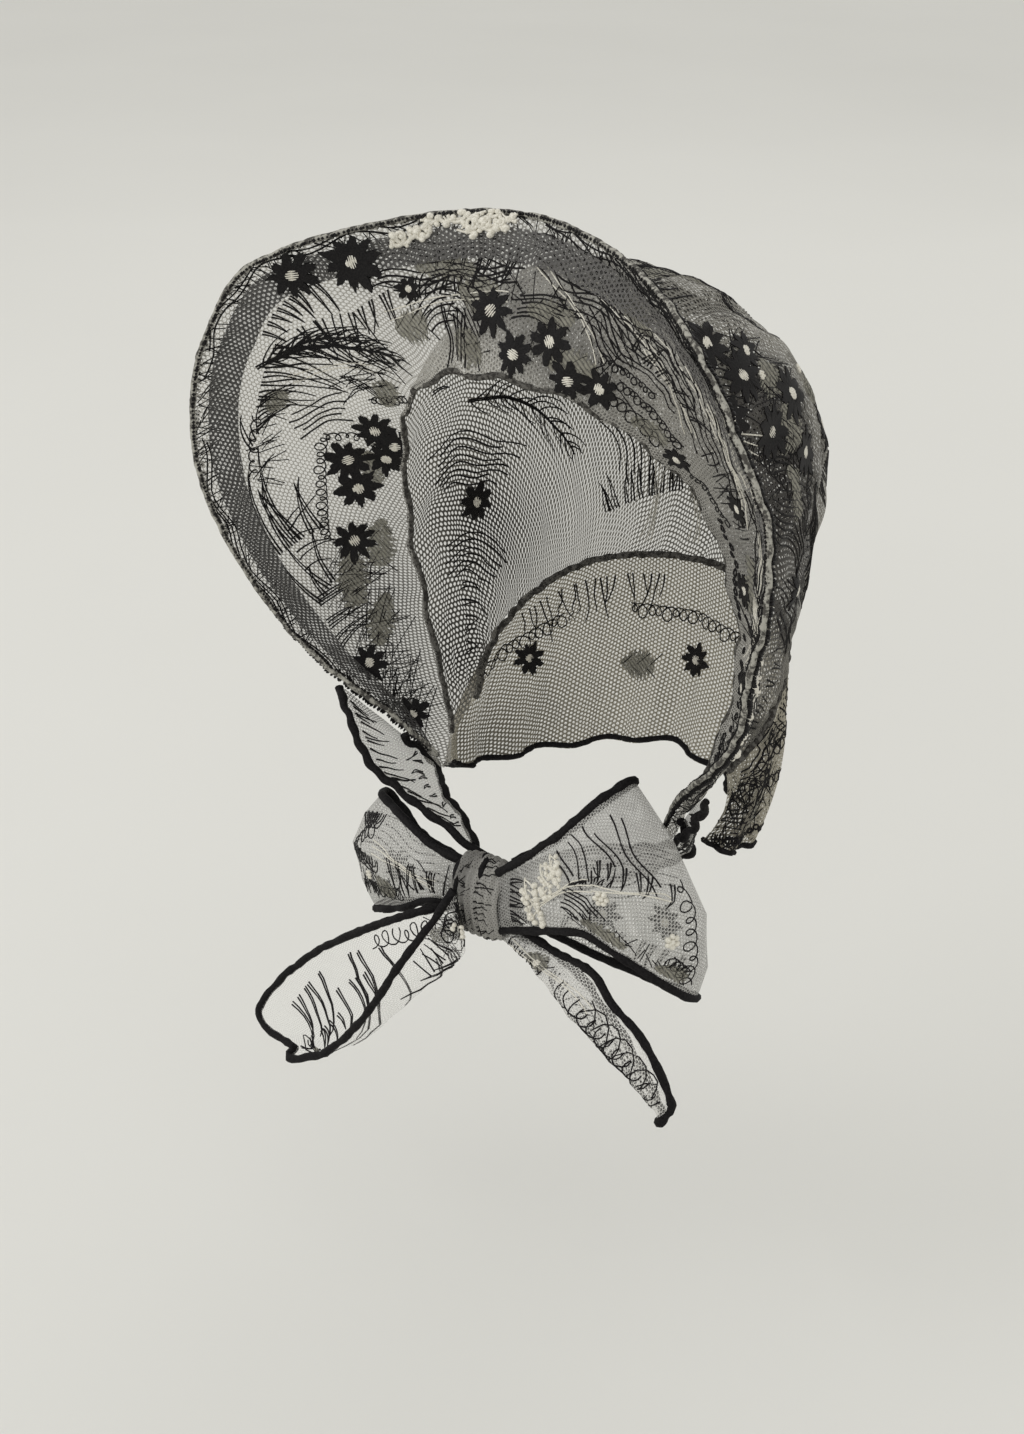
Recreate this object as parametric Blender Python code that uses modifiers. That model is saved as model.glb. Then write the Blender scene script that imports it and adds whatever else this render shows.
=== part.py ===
"""Embroidered tulle bonnet with a wide standing brim, a puffed crown, a neck curtain and a bow under the chin.

Metres. +Z is up, -Y is the way the wearer faces and +X is the wearer's left. The origin is where the top of
the head meets the inside of the crown. Tables hold lengths as shares of the sizes named above them.
"""

import math

import bmesh
import bpy
import numpy as np

# Sizes of the bonnet
RIM_HALF_WIDTH = 0.132
RIM_FORWARD = 0.108
JAW_DROP = 0.217
THROAT_HALF_WIDTH = 0.080
THROAT_FORWARD = 0.077
NAPE_HALF_WIDTH = 0.072
NAPE_BACK = 0.080
HEM_HALF_WIDTH = 0.071
HEM_BACK = 0.058
HEM_DROP = 0.244
CROWN_PUFF = 0.090
BRIM_BELLY = 0.006
CURTAIN_FLARE = 0.005

# Cloth and seams
CLOTH = 0.0012
SEAM_GAP = 0.0004
FACE_SEAM_ROOM = 0.0025
NECK_SEAM_ROOM = 0.0008
CORNER_ROOM = 0.0024
BAND_WIDTH = 0.015
BAND_INSET = 0.0080
BAND_CLOTH = 0.0010
BAND_EASE = 0.0004
BAND_TRIM = 2
BAND_READINGS = 25
BRIM_GATHER = 0.0011
CROWN_GATHER = 0.0018
CURTAIN_RUFFLE = 0.0030
GATHER_FADE = 0.25
GATHERS = 8
RUFFLES = 5

# Sizes of the bow
KNOT_FORWARD = 0.085
KNOT_DROP = 0.253
KNOT_WIDTH = 0.015
KNOT_HALF_DEPTH = 0.0115
KNOT_HALF_HEIGHT = 0.018
KNOT_TAPER = 0.14
KNOT_END_SHARE = 0.94
KNOT_FOLDS = 5
KNOT_FOLD_SHARE = 0.03
KNOT_GAP = 0.0004
KNOT_SHIFT = (0.0, -0.001, 0.0045)
LOOP_REACH = 0.100
TAIL_REACH = 0.120
TIE_REACH = 0.085
BINDING_RADIUS = 0.0016
BINDING_GAP = 0.0009
BINDING_SHORT = 0.0017
CORNER_SHARE = 0.9
RIBBON_CLOTH = 0.0011
LOOP_SOFTNESS = 0.30
TAIL_SOFTNESS = 0.16

# Where the pieces end along the rim: 0 is the top and 1 is the jaw corner
BRIM_END = 1.0
CROWN_END = 0.96
CURTAIN_END = 0.96
TIE_SEWN = (0.86, 0.95)
TIE_STANDOFF = 0.0054
TIE_STANDOFF_WAY = (1.0, 0.15, -0.62)

# The rim band's two edges and its middle: how far across the band each lies, and the largest share of the
# brim's width at which it may lie where the brim narrows to the jaw corner
BAND_LINES = [
    (0.0, 0.38),
    (0.5, 0.455),
    (1.0, 0.53),
]

# Colours
NET = (0.62, 0.60, 0.55)
CROWN_NET = (0.40, 0.38, 0.34)
CURTAIN_NET = (0.45, 0.41, 0.33)
DARK_NET = (0.16, 0.155, 0.15)
BLACK = (0.012, 0.011, 0.012)
NET_ROUGHNESS = 0.75
BINDING_ROUGHNESS = 0.8

# Steps across each mesh
BRIM_STEPS = (84, 5)
CROWN_STEPS = (72, 10)
CURTAIN_STEPS = (48, 4)
LOOP_STEPS = (18, 4)
TAIL_STEPS = (14, 6)
TIE_STEPS = (9, 2)
BINDING_SIDES = 6
BINDING_TURNED_FROM = (0.3, 1.0, 0.2)
KNOT_STEPS = (20, 6)

# Rim edge: along, side / RIM_HALF_WIDTH, front / RIM_FORWARD, up / JAW_DROP
RIM = [
    (0.00, 0.000, 0.583, 0.143),
    (0.14, 0.386, 0.694, 0.111),
    (0.29, 0.750, 0.954, 0.028),
    (0.38, 0.902, 1.000, -0.097),
    (0.47, 1.000, 0.981, -0.244),
    (0.56, 1.000, 0.963, -0.396),
    (0.65, 0.932, 0.907, -0.535),
    (0.73, 0.856, 0.796, -0.668),
    (0.82, 0.720, 0.694, -0.783),
    (0.91, 0.561, 0.556, -0.885),
    (1.00, 0.439, 0.389, -1.000),
]

# Edge round the face: along, side / THROAT_HALF_WIDTH, front / THROAT_FORWARD, up / JAW_DROP
THROAT = [
    (0.00, 0.000, 1.000, -0.138),
    (0.14, 0.375, 0.948, -0.157),
    (0.29, 0.700, 0.779, -0.235),
    (0.38, 0.850, 0.649, -0.309),
    (0.47, 0.938, 0.532, -0.401),
    (0.56, 0.988, 0.442, -0.512),
    (0.65, 1.000, 0.364, -0.622),
    (0.73, 0.963, 0.325, -0.733),
    (0.82, 0.888, 0.325, -0.843),
    (0.91, 0.788, 0.364, -0.935),
    (1.00, 0.688, 0.468, -1.018),
]

# Seam at the neck: along, side / NAPE_HALF_WIDTH, back / NAPE_BACK, up / JAW_DROP
NAPE = [
    (0.0, 0.000, 1.000, -0.696),
    (0.2, 0.403, 0.938, -0.705),
    (0.4, 0.736, 0.763, -0.733),
    (0.6, 0.944, 0.475, -0.793),
    (0.8, 1.000, 0.175, -0.876),
    (1.0, 0.875, -0.100, -0.959),
]

# Hem of the neck curtain: along, side / HEM_HALF_WIDTH, back / HEM_BACK, up / HEM_DROP
HEM = [
    (0.0, 0.000, 1.000, -0.963),
    (0.2, 0.423, 0.862, -0.980),
    (0.4, 0.761, 0.552, -0.996),
    (0.6, 0.972, 0.138, -1.000),
    (0.8, 1.000, -0.241, -0.975),
    (1.0, 0.873, -0.414, -0.935),
]

# How far the crown stands off each seam before it turns, as shares of CROWN_PUFF:
# along, then side, back and up from the face seam, then side, back and up from the neck seam
PUFF = [
    (0.00, 0.000, 0.844, 1.000, 0.000, 0.822, 0.978),
    (0.30, 0.117, 0.744, 0.761, 0.211, 0.700, 0.833),
    (0.56, 0.144, 0.461, 0.289, 0.030, 0.150, 0.500),
    (0.80, 0.080, 0.180, 0.089, -0.020, 0.080, 0.156),
    (1.00, 0.044, 0.067, 0.000, 0.022, 0.044, 0.011),
]

# Ribbons: along, then out, back and up of the top edge, the middle and the lower edge. Out is measured from
# the knot's end on that ribbon's own side, and back and up from the knot's middle. A loop runs out, turns and
# comes back.
NEAR_LOOP = [
    (0.00, 0.000, -0.075, 0.185, 0.000, -0.095, 0.060, 0.000, -0.080, -0.050),
    (0.10, 0.172, -0.080, 0.330, 0.224, -0.150, 0.200, 0.230, -0.120, 0.050),
    (0.25, 0.332, -0.060, 0.490, 0.541, -0.230, 0.400, 0.500, -0.180, 0.150),
    (0.37, 0.424, 0.040, 0.599, 0.807, -0.180, 0.400, 0.727, -0.130, 0.054),
    (0.47, 0.478, 0.160, 0.650, 0.967, 0.050, 0.270, 0.867, 0.010, -0.100),
    (0.55, 0.463, 0.250, 0.610, 0.907, 0.210, 0.130, 0.833, 0.150, -0.180),
    (0.70, 0.307, 0.260, 0.460, 0.563, 0.260, 0.100, 0.587, 0.190, -0.200),
    (0.86, 0.147, 0.130, 0.290, 0.247, 0.150, 0.100, 0.277, 0.120, -0.120),
    (1.00, 0.000, 0.045, 0.185, 0.000, 0.050, 0.060, 0.000, 0.045, -0.010),
]
FAR_LOOP = [
    (0.00, 0.000, -0.020, 0.160, 0.000, -0.030, 0.060, 0.000, -0.020, -0.050),
    (0.14, 0.177, -0.050, 0.200, 0.167, -0.120, 0.110, 0.163, -0.080, -0.010),
    (0.30, 0.397, 0.010, 0.255, 0.430, -0.100, 0.120, 0.387, -0.040, -0.140),
    (0.46, 0.597, 0.130, 0.255, 0.757, 0.060, 0.020, 0.575, 0.050, -0.240),
    (0.56, 0.617, 0.210, 0.220, 0.807, 0.170, -0.040, 0.607, 0.150, -0.270),
    (0.78, 0.354, 0.140, 0.110, 0.467, 0.180, -0.060, 0.387, 0.140, -0.190),
    (1.00, 0.000, 0.035, 0.120, 0.000, 0.040, 0.040, 0.000, 0.035, -0.050),
]
NEAR_TAIL = [
    (0.00, 0.000, -0.022, -0.040, 0.000, -0.040, -0.090, 0.000, 0.000, -0.085),
    (0.22, 0.247, -0.075, -0.055, 0.222, -0.165, -0.100, 0.193, -0.030, -0.085),
    (0.40, 0.443, -0.146, -0.035, 0.378, -0.250, -0.145, 0.332, -0.055, -0.120),
    (0.55, 0.534, -0.165, -0.113, 0.502, -0.270, -0.205, 0.443, -0.070, -0.200),
    (0.70, 0.645, -0.165, -0.196, 0.603, -0.250, -0.295, 0.552, -0.085, -0.290),
    (0.84, 0.728, -0.160, -0.322, 0.688, -0.215, -0.385, 0.642, -0.095, -0.400),
    (1.00, 0.767, -0.145, -0.440, 0.737, -0.175, -0.480, 0.708, -0.100, -0.490),
]
FAR_TAIL = [
    (0.00, 0.004, -0.098, 0.080, 0.000, -0.105, 0.020, 0.000, -0.070, 0.010),
    (0.16, 0.030, -0.190, -0.015, -0.128, -0.192, -0.090, 0.172, -0.150, -0.060),
    (0.38, 0.112, -0.275, -0.174, -0.085, -0.250, -0.178, 0.469, -0.100, -0.264),
    (0.60, 0.222, -0.300, -0.373, 0.076, -0.258, -0.345, 0.693, -0.067, -0.439),
    (0.80, 0.383, -0.292, -0.584, 0.282, -0.242, -0.556, 0.861, -0.075, -0.612),
    (0.94, 0.575, -0.267, -0.736, 0.512, -0.225, -0.713, 0.920, -0.125, -0.724),
    (1.00, 0.693, -0.245, -0.780, 0.657, -0.205, -0.750, 0.862, -0.160, -0.765),
]
NEAR_TIE = [
    (0.25, 0.831, 0.340, 0.540, 0.771, 0.460, 0.410, 0.691, 0.570, 0.290),
    (0.50, 0.621, 0.445, 0.340, 0.551, 0.495, 0.245, 0.481, 0.515, 0.150),
    (0.75, 0.316, 0.375, 0.260, 0.266, 0.400, 0.155, 0.231, 0.375, 0.050),
    (0.90, 0.141, 0.260, 0.215, 0.126, 0.270, 0.105, 0.116, 0.250, 0.010),
    (1.00, 0.000, 0.094, 0.150, 0.000, 0.098, 0.075, 0.000, 0.094, 0.000),
]
FAR_TIE = [
    (0.25, 0.811, 0.082, 0.722, 0.751, 0.330, 0.540, 0.691, 0.590, 0.310),
    (0.50, 0.665, 0.059, 0.527, 0.591, 0.250, 0.400, 0.511, 0.430, 0.260),
    (0.75, 0.432, 0.100, 0.370, 0.371, 0.240, 0.280, 0.311, 0.350, 0.170),
    (1.00, 0.000, 0.102, 0.170, 0.000, 0.108, 0.090, 0.000, 0.100, 0.010),
]


def clear_scene():
    for obj in list(bpy.data.objects):
        bpy.data.objects.remove(obj, do_unlink=True)


def spline(table, at):
    """A smooth line through the rows of a table, read at the share along given."""
    rows = np.array(table, float)
    along = rows[:, 0]
    value = rows[:, 1:]
    last = len(rows) - 1
    before = np.maximum(np.arange(last + 1) - 1, 0)
    after = np.minimum(np.arange(last + 1) + 1, last)
    slope = (value[after] - value[before]) / (along[after] - along[before])[:, None]
    at = np.atleast_1d(np.asarray(at, float))
    k = np.clip(np.searchsorted(along, at, side="right") - 1, 0, last - 1)
    span = (along[k + 1] - along[k])[:, None]
    s = (at[:, None] - along[k][:, None]) / span
    return (
        (2 * s**3 - 3 * s**2 + 1) * value[k]
        + (s**3 - 2 * s**2 + s) * span * slope[k]
        + (3 * s**2 - 2 * s**3) * value[k + 1]
        + (s**3 - s**2) * span * slope[k + 1]
    )


def both_sides(table, side_columns=(1,)):
    """The table carried on to the wearer's right by turning its side columns round."""
    other = [list(row) for row in table[::-1] if row[0] > 0]
    for row in other:
        row[0] = -row[0]
        for column in side_columns:
            row[column] = -row[column]
    return other + [list(row) for row in table]


def rim(at):
    return spline(both_sides(RIM), at) * (RIM_HALF_WIDTH, -RIM_FORWARD, JAW_DROP)


def throat(at):
    return spline(both_sides(THROAT), at) * (THROAT_HALF_WIDTH, -THROAT_FORWARD, JAW_DROP)


def nape(at):
    return spline(both_sides(NAPE), at) * (NAPE_HALF_WIDTH, NAPE_BACK, JAW_DROP)


def hem(at):
    return spline(both_sides(HEM), at) * (HEM_HALF_WIDTH, HEM_BACK, HEM_DROP)


def outward(points):
    """Unit directions away from the line through the middle of the head."""
    away = points * (1, 0, 1) + (0, 0, JAW_DROP / 2)
    return away / np.linalg.norm(away, axis=-1, keepdims=True)


def wave(at, count):
    return np.cos(2 * math.pi * count * np.asarray(at))[..., None]


def neck_room(at):
    """How far the crown and the curtain each stop short of the neck seam: more by the jaw corners."""
    return NECK_SEAM_ROOM + (CORNER_ROOM - NECK_SEAM_ROOM) * np.abs(at)[:, None] ** 4


def brim_point(at, across):
    """The brim from its rim, across 0, to the edge round the face, across 1."""
    outer = rim(at)
    inner = throat(at)
    belly = BRIM_BELLY * 4 * across * (1 - across)
    gather = BRIM_GATHER * across**2 * wave(at, GATHERS)
    flat = outer + (inner - outer) * across
    return flat + (belly + gather) * outward(flat)


def crown_point(at, share):
    """The crown from the edge round the face, share 0, to the seam at the neck, share 1, clear of both."""
    front = brim_point(at, 1)
    back = nape(at)
    puff = spline(both_sides(PUFF, (1, 4)), at) * CROWN_PUFF
    rise = front + puff[:, :3]
    fall = back + puff[:, 3:]
    first = FACE_SEAM_ROOM / (3 * np.linalg.norm(puff[:, :3], axis=1, keepdims=True))
    last = 1 - neck_room(at) / (3 * np.linalg.norm(puff[:, 3:], axis=1, keepdims=True))
    across = first + (last - first) * share
    keep = 1 - across
    round_point = (
        keep**3 * front
        + 3 * keep**2 * across * rise
        + 3 * keep * across**2 * fall
        + across**3 * back
    )
    fade = min(share, 1 - share, GATHER_FADE) / GATHER_FADE
    deep = CROWN_GATHER * (1 - 4 * across * keep) ** 2 * fade
    return round_point + deep * wave(at, GATHERS) * outward(round_point)


def curtain_point(at, across):
    """The neck curtain from the seam at the neck, across 0, to its hem, across 1."""
    low = hem(at)
    top = nape(at)
    top = top + (low - top) * neck_room(at) / np.linalg.norm(low - top, axis=1, keepdims=True)
    flat = top + (low - top) * across
    away = flat * (1, 1, 0)
    away = away / np.linalg.norm(away, axis=-1, keepdims=True)
    flare = CURTAIN_FLARE * 4 * across * (1 - across)
    return flat + (flare + CURTAIN_RUFFLE * across * wave(at, RUFFLES)) * away


def normals(grid):
    """Unit normals of a grid of points."""
    along = np.gradient(grid, axis=0)
    across = np.gradient(grid, axis=1)
    normal = np.cross(along, across)
    return normal / np.linalg.norm(normal, axis=-1, keepdims=True)


def material(name, colour, roughness):
    made = bpy.data.materials.new(name)
    made.use_nodes = True
    shader = made.node_tree.nodes["Principled BSDF"]
    shader.inputs["Base Color"].default_value = (*colour, 1)
    shader.inputs["Roughness"].default_value = roughness
    shader.inputs["Metallic"].default_value = 0
    return made


def add_object(name, mesh, colour, roughness):
    for polygon in mesh.polygons:
        polygon.use_smooth = True
    mesh.materials.append(material(name, colour, roughness))
    obj = bpy.data.objects.new(name, mesh)
    PARTS.objects.link(obj)
    return obj


def mesh_of(name, points, faces):
    mesh = bpy.data.meshes.new(name)
    mesh.from_pydata([tuple(map(float, point)) for point in points], [], faces)
    mesh.update()
    return mesh


def add_cloth(name, grid, thickness, colour, roughness):
    """A sheet through a grid of points, given its thickness evenly about that grid."""
    rows, columns = grid.shape[:2]
    faces = [
        (i * columns + j, (i + 1) * columns + j, (i + 1) * columns + j + 1, i * columns + j + 1)
        for i in range(rows - 1)
        for j in range(columns - 1)
    ]
    obj = add_object(name, mesh_of(name, grid.reshape(-1, 3), faces), colour, roughness)
    solid = obj.modifiers.new("thickness", "SOLIDIFY")
    solid.thickness = thickness
    solid.offset = 0
    solid.use_even_offset = True
    solid.use_quality_normals = True
    return obj


def add_tube(name, line, radius, colour, roughness):
    """A round binding that follows a line of points, with flat ends."""
    line = np.asarray(line, float)
    ahead = np.gradient(line, axis=0)
    ahead /= np.linalg.norm(ahead, axis=1, keepdims=True)
    up = np.cross(ahead[0], BINDING_TURNED_FROM)
    rings = []
    for middle, way in zip(line, ahead):
        up = up - way * np.dot(up, way)
        up /= np.linalg.norm(up)
        side = np.cross(way, up)
        for k in range(BINDING_SIDES):
            turn = 2 * math.pi * k / BINDING_SIDES
            rings.append(middle + radius * (math.cos(turn) * up + math.sin(turn) * side))
    count = len(line)
    faces = [
        (
            i * BINDING_SIDES + k,
            i * BINDING_SIDES + (k + 1) % BINDING_SIDES,
            (i + 1) * BINDING_SIDES + (k + 1) % BINDING_SIDES,
            (i + 1) * BINDING_SIDES + k,
        )
        for i in range(count - 1)
        for k in range(BINDING_SIDES)
    ]
    faces.append(tuple(reversed(range(BINDING_SIDES))))
    faces.append(tuple((count - 1) * BINDING_SIDES + k for k in range(BINDING_SIDES)))
    obj = add_object(name, mesh_of(name, rings, faces), colour, roughness)
    outline = bmesh.new()
    outline.from_mesh(obj.data)
    bmesh.ops.recalc_face_normals(outline, faces=outline.faces)
    outline.to_mesh(obj.data)
    outline.free()
    return obj


def surface(point, ends, across_ends, steps):
    """A grid of a cloth from the function that places it."""
    at = np.linspace(*ends, steps[0] + 1)
    across = np.linspace(*across_ends, steps[1] + 1)
    return np.stack([point(at, share) for share in across], axis=1)


def knot_middle():
    return np.array([0, -KNOT_FORWARD, -KNOT_DROP])


def ribbon_line(table, reach, side, first=None):
    """The three lines of a ribbon as one table in metres: its top edge, middle and lower edge."""
    rows = []
    if first is not None:
        rows.append([0.0, *np.ravel(first)])
    for along, *shares in table:
        points = np.array(shares).reshape(3, 3) * reach + (KNOT_WIDTH / 2 + KNOT_GAP, 0, 0)
        points = points * (side, 1, 1) + knot_middle()
        rows.append([along, *points.ravel()])
    return rows


def ribbon_grid(rows, steps, softness):
    """A ribbon's grid: each row goes by the top edge, the middle and the lower edge, and turns softly."""
    at = np.linspace(rows[0][0], rows[-1][0], steps[0] + 1)
    lines = spline(rows, at).reshape(-1, 3, 3)
    across = np.linspace(0, 1, steps[1] + 1)[None, :, None]
    top, middle, low = lines[:, None, 0], lines[:, None, 1], lines[:, None, 2]

    def bent(share):
        upper = middle + (top - middle) * (1 - 2 * share)
        lower = middle + (low - middle) * (2 * share - 1)
        return np.where(share < 0.5, upper, lower)

    return (bent(across - softness) + 2 * bent(across) + bent(across + softness)) / 4


def beside(edge, inside, gap):
    """The line that runs beside one edge of a ribbon, clear of it by its own half width and a gap."""
    along = np.gradient(edge, axis=0)
    along /= np.linalg.norm(along, axis=1, keepdims=True)
    away = edge - inside
    away -= along * np.sum(away * along, axis=1, keepdims=True)
    away /= np.linalg.norm(away, axis=1, keepdims=True)
    return edge + away * (BINDING_RADIUS + gap)


def stopped_short(line):
    """The line of a binding with both its ends drawn back, clear of the knot."""
    first = line[1] - line[0]
    last = line[-2] - line[-1]
    line[0] += first / np.linalg.norm(first) * BINDING_SHORT
    line[-1] += last / np.linalg.norm(last) * BINDING_SHORT
    return line


def add_ribbon(name, rows, steps, softness, edges):
    """A ribbon and the bindings of its long edges. A tail has one binding that goes round its end."""
    grid = ribbon_grid(rows, steps, softness)
    add_cloth(name, grid, RIBBON_CLOTH, NET, NET_ROUGHNESS)
    gap = BINDING_GAP
    if edges == "round":
        top = beside(grid[:, 0], grid[:, 1], gap)
        low = beside(grid[:, -1], grid[:, -2], gap)
        end = beside(grid[-1], grid[-2], gap)
        first = top[-1:] + (end[:1] - grid[-1, :1]) * CORNER_SHARE
        last = low[-1:] + (end[-1:] - grid[-1, -1:]) * CORNER_SHARE
        line = np.concatenate([top, first, end[1:-1], last, low[::-1]])
        add_tube(name + "_binding", stopped_short(line), BINDING_RADIUS, BLACK, BINDING_ROUGHNESS)
        return
    top = beside(grid[:, 0], grid[:, 1], gap)
    low = beside(grid[:, -1], grid[:, -2], gap)
    add_tube(name + "_binding_top", stopped_short(top), BINDING_RADIUS, BLACK, BINDING_ROUGHNESS)
    add_tube(name + "_binding_low", stopped_short(low), BINDING_RADIUS, BLACK, BINDING_ROUGHNESS)


def add_knot():
    """The wrap that holds the bow: a barrel across the bow with rounded ends."""
    middle = knot_middle() + KNOT_SHIFT
    columns, rows = KNOT_STEPS
    points = []
    for j in range(rows + 1):
        share = j / rows * 2 - 1
        swell = (1 - KNOT_TAPER * abs(share) ** 3) * (1 if abs(share) < 1 else KNOT_END_SHARE)
        for i in range(columns):
            turn = 2 * math.pi * i / columns
            fold = 1 + KNOT_FOLD_SHARE * math.cos(KNOT_FOLDS * turn)
            depth = KNOT_HALF_DEPTH * swell * fold * math.sin(turn)
            height = KNOT_HALF_HEIGHT * swell * fold * math.cos(turn)
            points.append(middle + (share * KNOT_WIDTH / 2, depth, height))
    faces = [
        (j * columns + i, j * columns + (i + 1) % columns,
         (j + 1) * columns + (i + 1) % columns, (j + 1) * columns + i)
        for j in range(rows)
        for i in range(columns)
    ]
    faces.append(tuple(range(columns)))
    faces.append(tuple(rows * columns + i for i in reversed(range(columns))))
    obj = add_object("knot", mesh_of("knot", points, faces), DARK_NET, NET_ROUGHNESS)
    outline = bmesh.new()
    outline.from_mesh(obj.data)
    bmesh.ops.recalc_face_normals(outline, faces=outline.faces)
    outline.to_mesh(obj.data)
    outline.free()


def add_rim_band():
    """The doubled dark net that lies inside the brim, a little way in from the rim."""
    kept = slice(BAND_TRIM, -BAND_TRIM)
    at = np.linspace(-BRIM_END, BRIM_END, BRIM_STEPS[0] + 1)[kept]
    grid = surface(brim_point, (-BRIM_END, BRIM_END), (0, 1), (BRIM_STEPS[0], BAND_READINGS))[kept]
    wide = np.linalg.norm(rim(at) - throat(at), axis=1)
    shares = np.linspace(0, 1, grid.shape[1])
    lifted = grid - normals(grid) * ((CLOTH + BAND_CLOTH) / 2 + SEAM_GAP + BAND_EASE)
    lines = []
    for over_band, most in BAND_LINES:
        share = np.minimum((BAND_INSET + BAND_WIDTH * over_band) / wide, most)
        place = np.array([
            [np.interp(s, shares, lifted[i, :, axis]) for axis in range(3)]
            for i, s in enumerate(share)
        ])
        lines.append(place)
    add_cloth("rim_band", np.stack(lines, axis=1), BAND_CLOTH, DARK_NET, NET_ROUGHNESS)


def add_tie(name, side, table):
    """A tie from the lower end of the brim to the knot."""
    at = np.linspace(*TIE_SEWN, 3) * side
    sewn = rim(at)
    sewn += TIE_STANDOFF * np.array(TIE_STANDOFF_WAY) * (side, 1, 1)
    rows = ribbon_line(table, TIE_REACH, side, sewn)
    add_ribbon(name, rows, TIE_STEPS, LOOP_SOFTNESS, "straight")


clear_scene()
PARTS = bpy.data.collections.new("lace_veil_hat")
bpy.context.scene.collection.children.link(PARTS)

brim_grid = surface(brim_point, (-BRIM_END, BRIM_END), (0, 1), BRIM_STEPS)
add_cloth("brim", brim_grid, CLOTH, NET, NET_ROUGHNESS)
add_rim_band()

crown_grid = surface(crown_point, (-CROWN_END, CROWN_END), (0, 1), CROWN_STEPS)
add_cloth("crown", crown_grid, CLOTH, CROWN_NET, NET_ROUGHNESS)

curtain_grid = surface(curtain_point, (-CURTAIN_END, CURTAIN_END), (0, 1), CURTAIN_STEPS)
add_cloth("neck_curtain", curtain_grid, CLOTH, CURTAIN_NET, NET_ROUGHNESS)

add_tie("near_tie", 1, NEAR_TIE)
add_tie("far_tie", -1, FAR_TIE)
add_knot()
loop_rows = ribbon_line(NEAR_LOOP, LOOP_REACH, 1)
add_ribbon("near_loop", loop_rows, LOOP_STEPS, LOOP_SOFTNESS, "straight")
loop_rows = ribbon_line(FAR_LOOP, LOOP_REACH, -1)
add_ribbon("far_loop", loop_rows, LOOP_STEPS, LOOP_SOFTNESS, "straight")
tail_rows = ribbon_line(NEAR_TAIL, TAIL_REACH, 1)
add_ribbon("near_tail", tail_rows, TAIL_STEPS, TAIL_SOFTNESS, "round")
tail_rows = ribbon_line(FAR_TAIL, TAIL_REACH, -1)
add_ribbon("far_tail", tail_rows, TAIL_STEPS, TAIL_SOFTNESS, "round")
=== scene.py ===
"""Dresses the lace bonnet: embroidered net over the fixed frame, with its rim, ties and bow.

Metres. +Z is up, -Y is the way the wearer faces and +X is the wearer's left. Every cloth is a function of two
shares, along and across it, and every motif is laid on its cloth by those shares.
"""

import logging
import math
from dataclasses import dataclass, field, replace
from enum import Enum
from typing import Sequence

import bpy
import numpy as np
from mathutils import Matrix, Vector


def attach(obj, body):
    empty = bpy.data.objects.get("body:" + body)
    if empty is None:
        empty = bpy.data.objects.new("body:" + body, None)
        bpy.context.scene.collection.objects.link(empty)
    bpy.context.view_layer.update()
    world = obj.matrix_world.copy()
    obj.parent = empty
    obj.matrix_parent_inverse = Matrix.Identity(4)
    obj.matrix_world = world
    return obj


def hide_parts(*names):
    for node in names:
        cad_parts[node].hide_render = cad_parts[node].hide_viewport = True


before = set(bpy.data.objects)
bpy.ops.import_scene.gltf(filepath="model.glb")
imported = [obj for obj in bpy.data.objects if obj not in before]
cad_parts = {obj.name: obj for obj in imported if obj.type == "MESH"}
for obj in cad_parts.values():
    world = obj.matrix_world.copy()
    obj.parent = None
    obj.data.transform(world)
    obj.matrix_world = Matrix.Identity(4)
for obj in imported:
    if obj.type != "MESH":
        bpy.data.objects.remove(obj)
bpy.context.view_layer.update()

LOG = logging.getLogger("bonnet")
Array = np.ndarray
Colour = tuple[float, float, float]
Pair = tuple[float, float]
Triple = tuple[float, float, float]
Faces = list[tuple[int, ...]]

# Sizes shared by more than one sub-assembly
RIM_HALF_WIDTH = 0.132
RIM_FORWARD = 0.108
JAW_DROP = 0.217
THROAT_HALF_WIDTH = 0.080
THROAT_FORWARD = 0.077
NAPE_HALF_WIDTH = 0.072
NAPE_BACK = 0.080
HEM_HALF_WIDTH = 0.071
HEM_BACK = 0.058
HEM_DROP = 0.244
CROWN_PUFF = 0.090
KNOT_MIDDLE = np.array([0.0, -0.085, -0.253])
KNOT_END = 0.0079
NECK_ROOM = (0.0008, 0.0024)
SEAM_ENDS = (-0.955, 0.955)
SMALL_STEP = 1e-4
SHORTEST_LINE = 1e-5

# Edges of the cloths, each as a share along it and then side, depth and height as shares of its own sizes
RIM = [
    (0.00, 0.000, 0.583, 0.143),
    (0.14, 0.386, 0.694, 0.111),
    (0.29, 0.750, 0.954, 0.028),
    (0.38, 0.902, 1.000, -0.097),
    (0.47, 1.000, 0.981, -0.244),
    (0.56, 1.000, 0.963, -0.396),
    (0.65, 0.932, 0.907, -0.535),
    (0.73, 0.856, 0.796, -0.668),
    (0.82, 0.720, 0.694, -0.783),
    (0.91, 0.561, 0.556, -0.885),
    (1.00, 0.439, 0.389, -1.000),
]
THROAT = [
    (0.00, 0.000, 1.000, -0.138),
    (0.14, 0.375, 0.948, -0.157),
    (0.29, 0.700, 0.779, -0.235),
    (0.38, 0.850, 0.649, -0.309),
    (0.47, 0.938, 0.532, -0.401),
    (0.56, 0.988, 0.442, -0.512),
    (0.65, 1.000, 0.364, -0.622),
    (0.73, 0.963, 0.325, -0.733),
    (0.82, 0.888, 0.325, -0.843),
    (0.91, 0.788, 0.364, -0.935),
    (1.00, 0.688, 0.468, -1.018),
]
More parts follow.
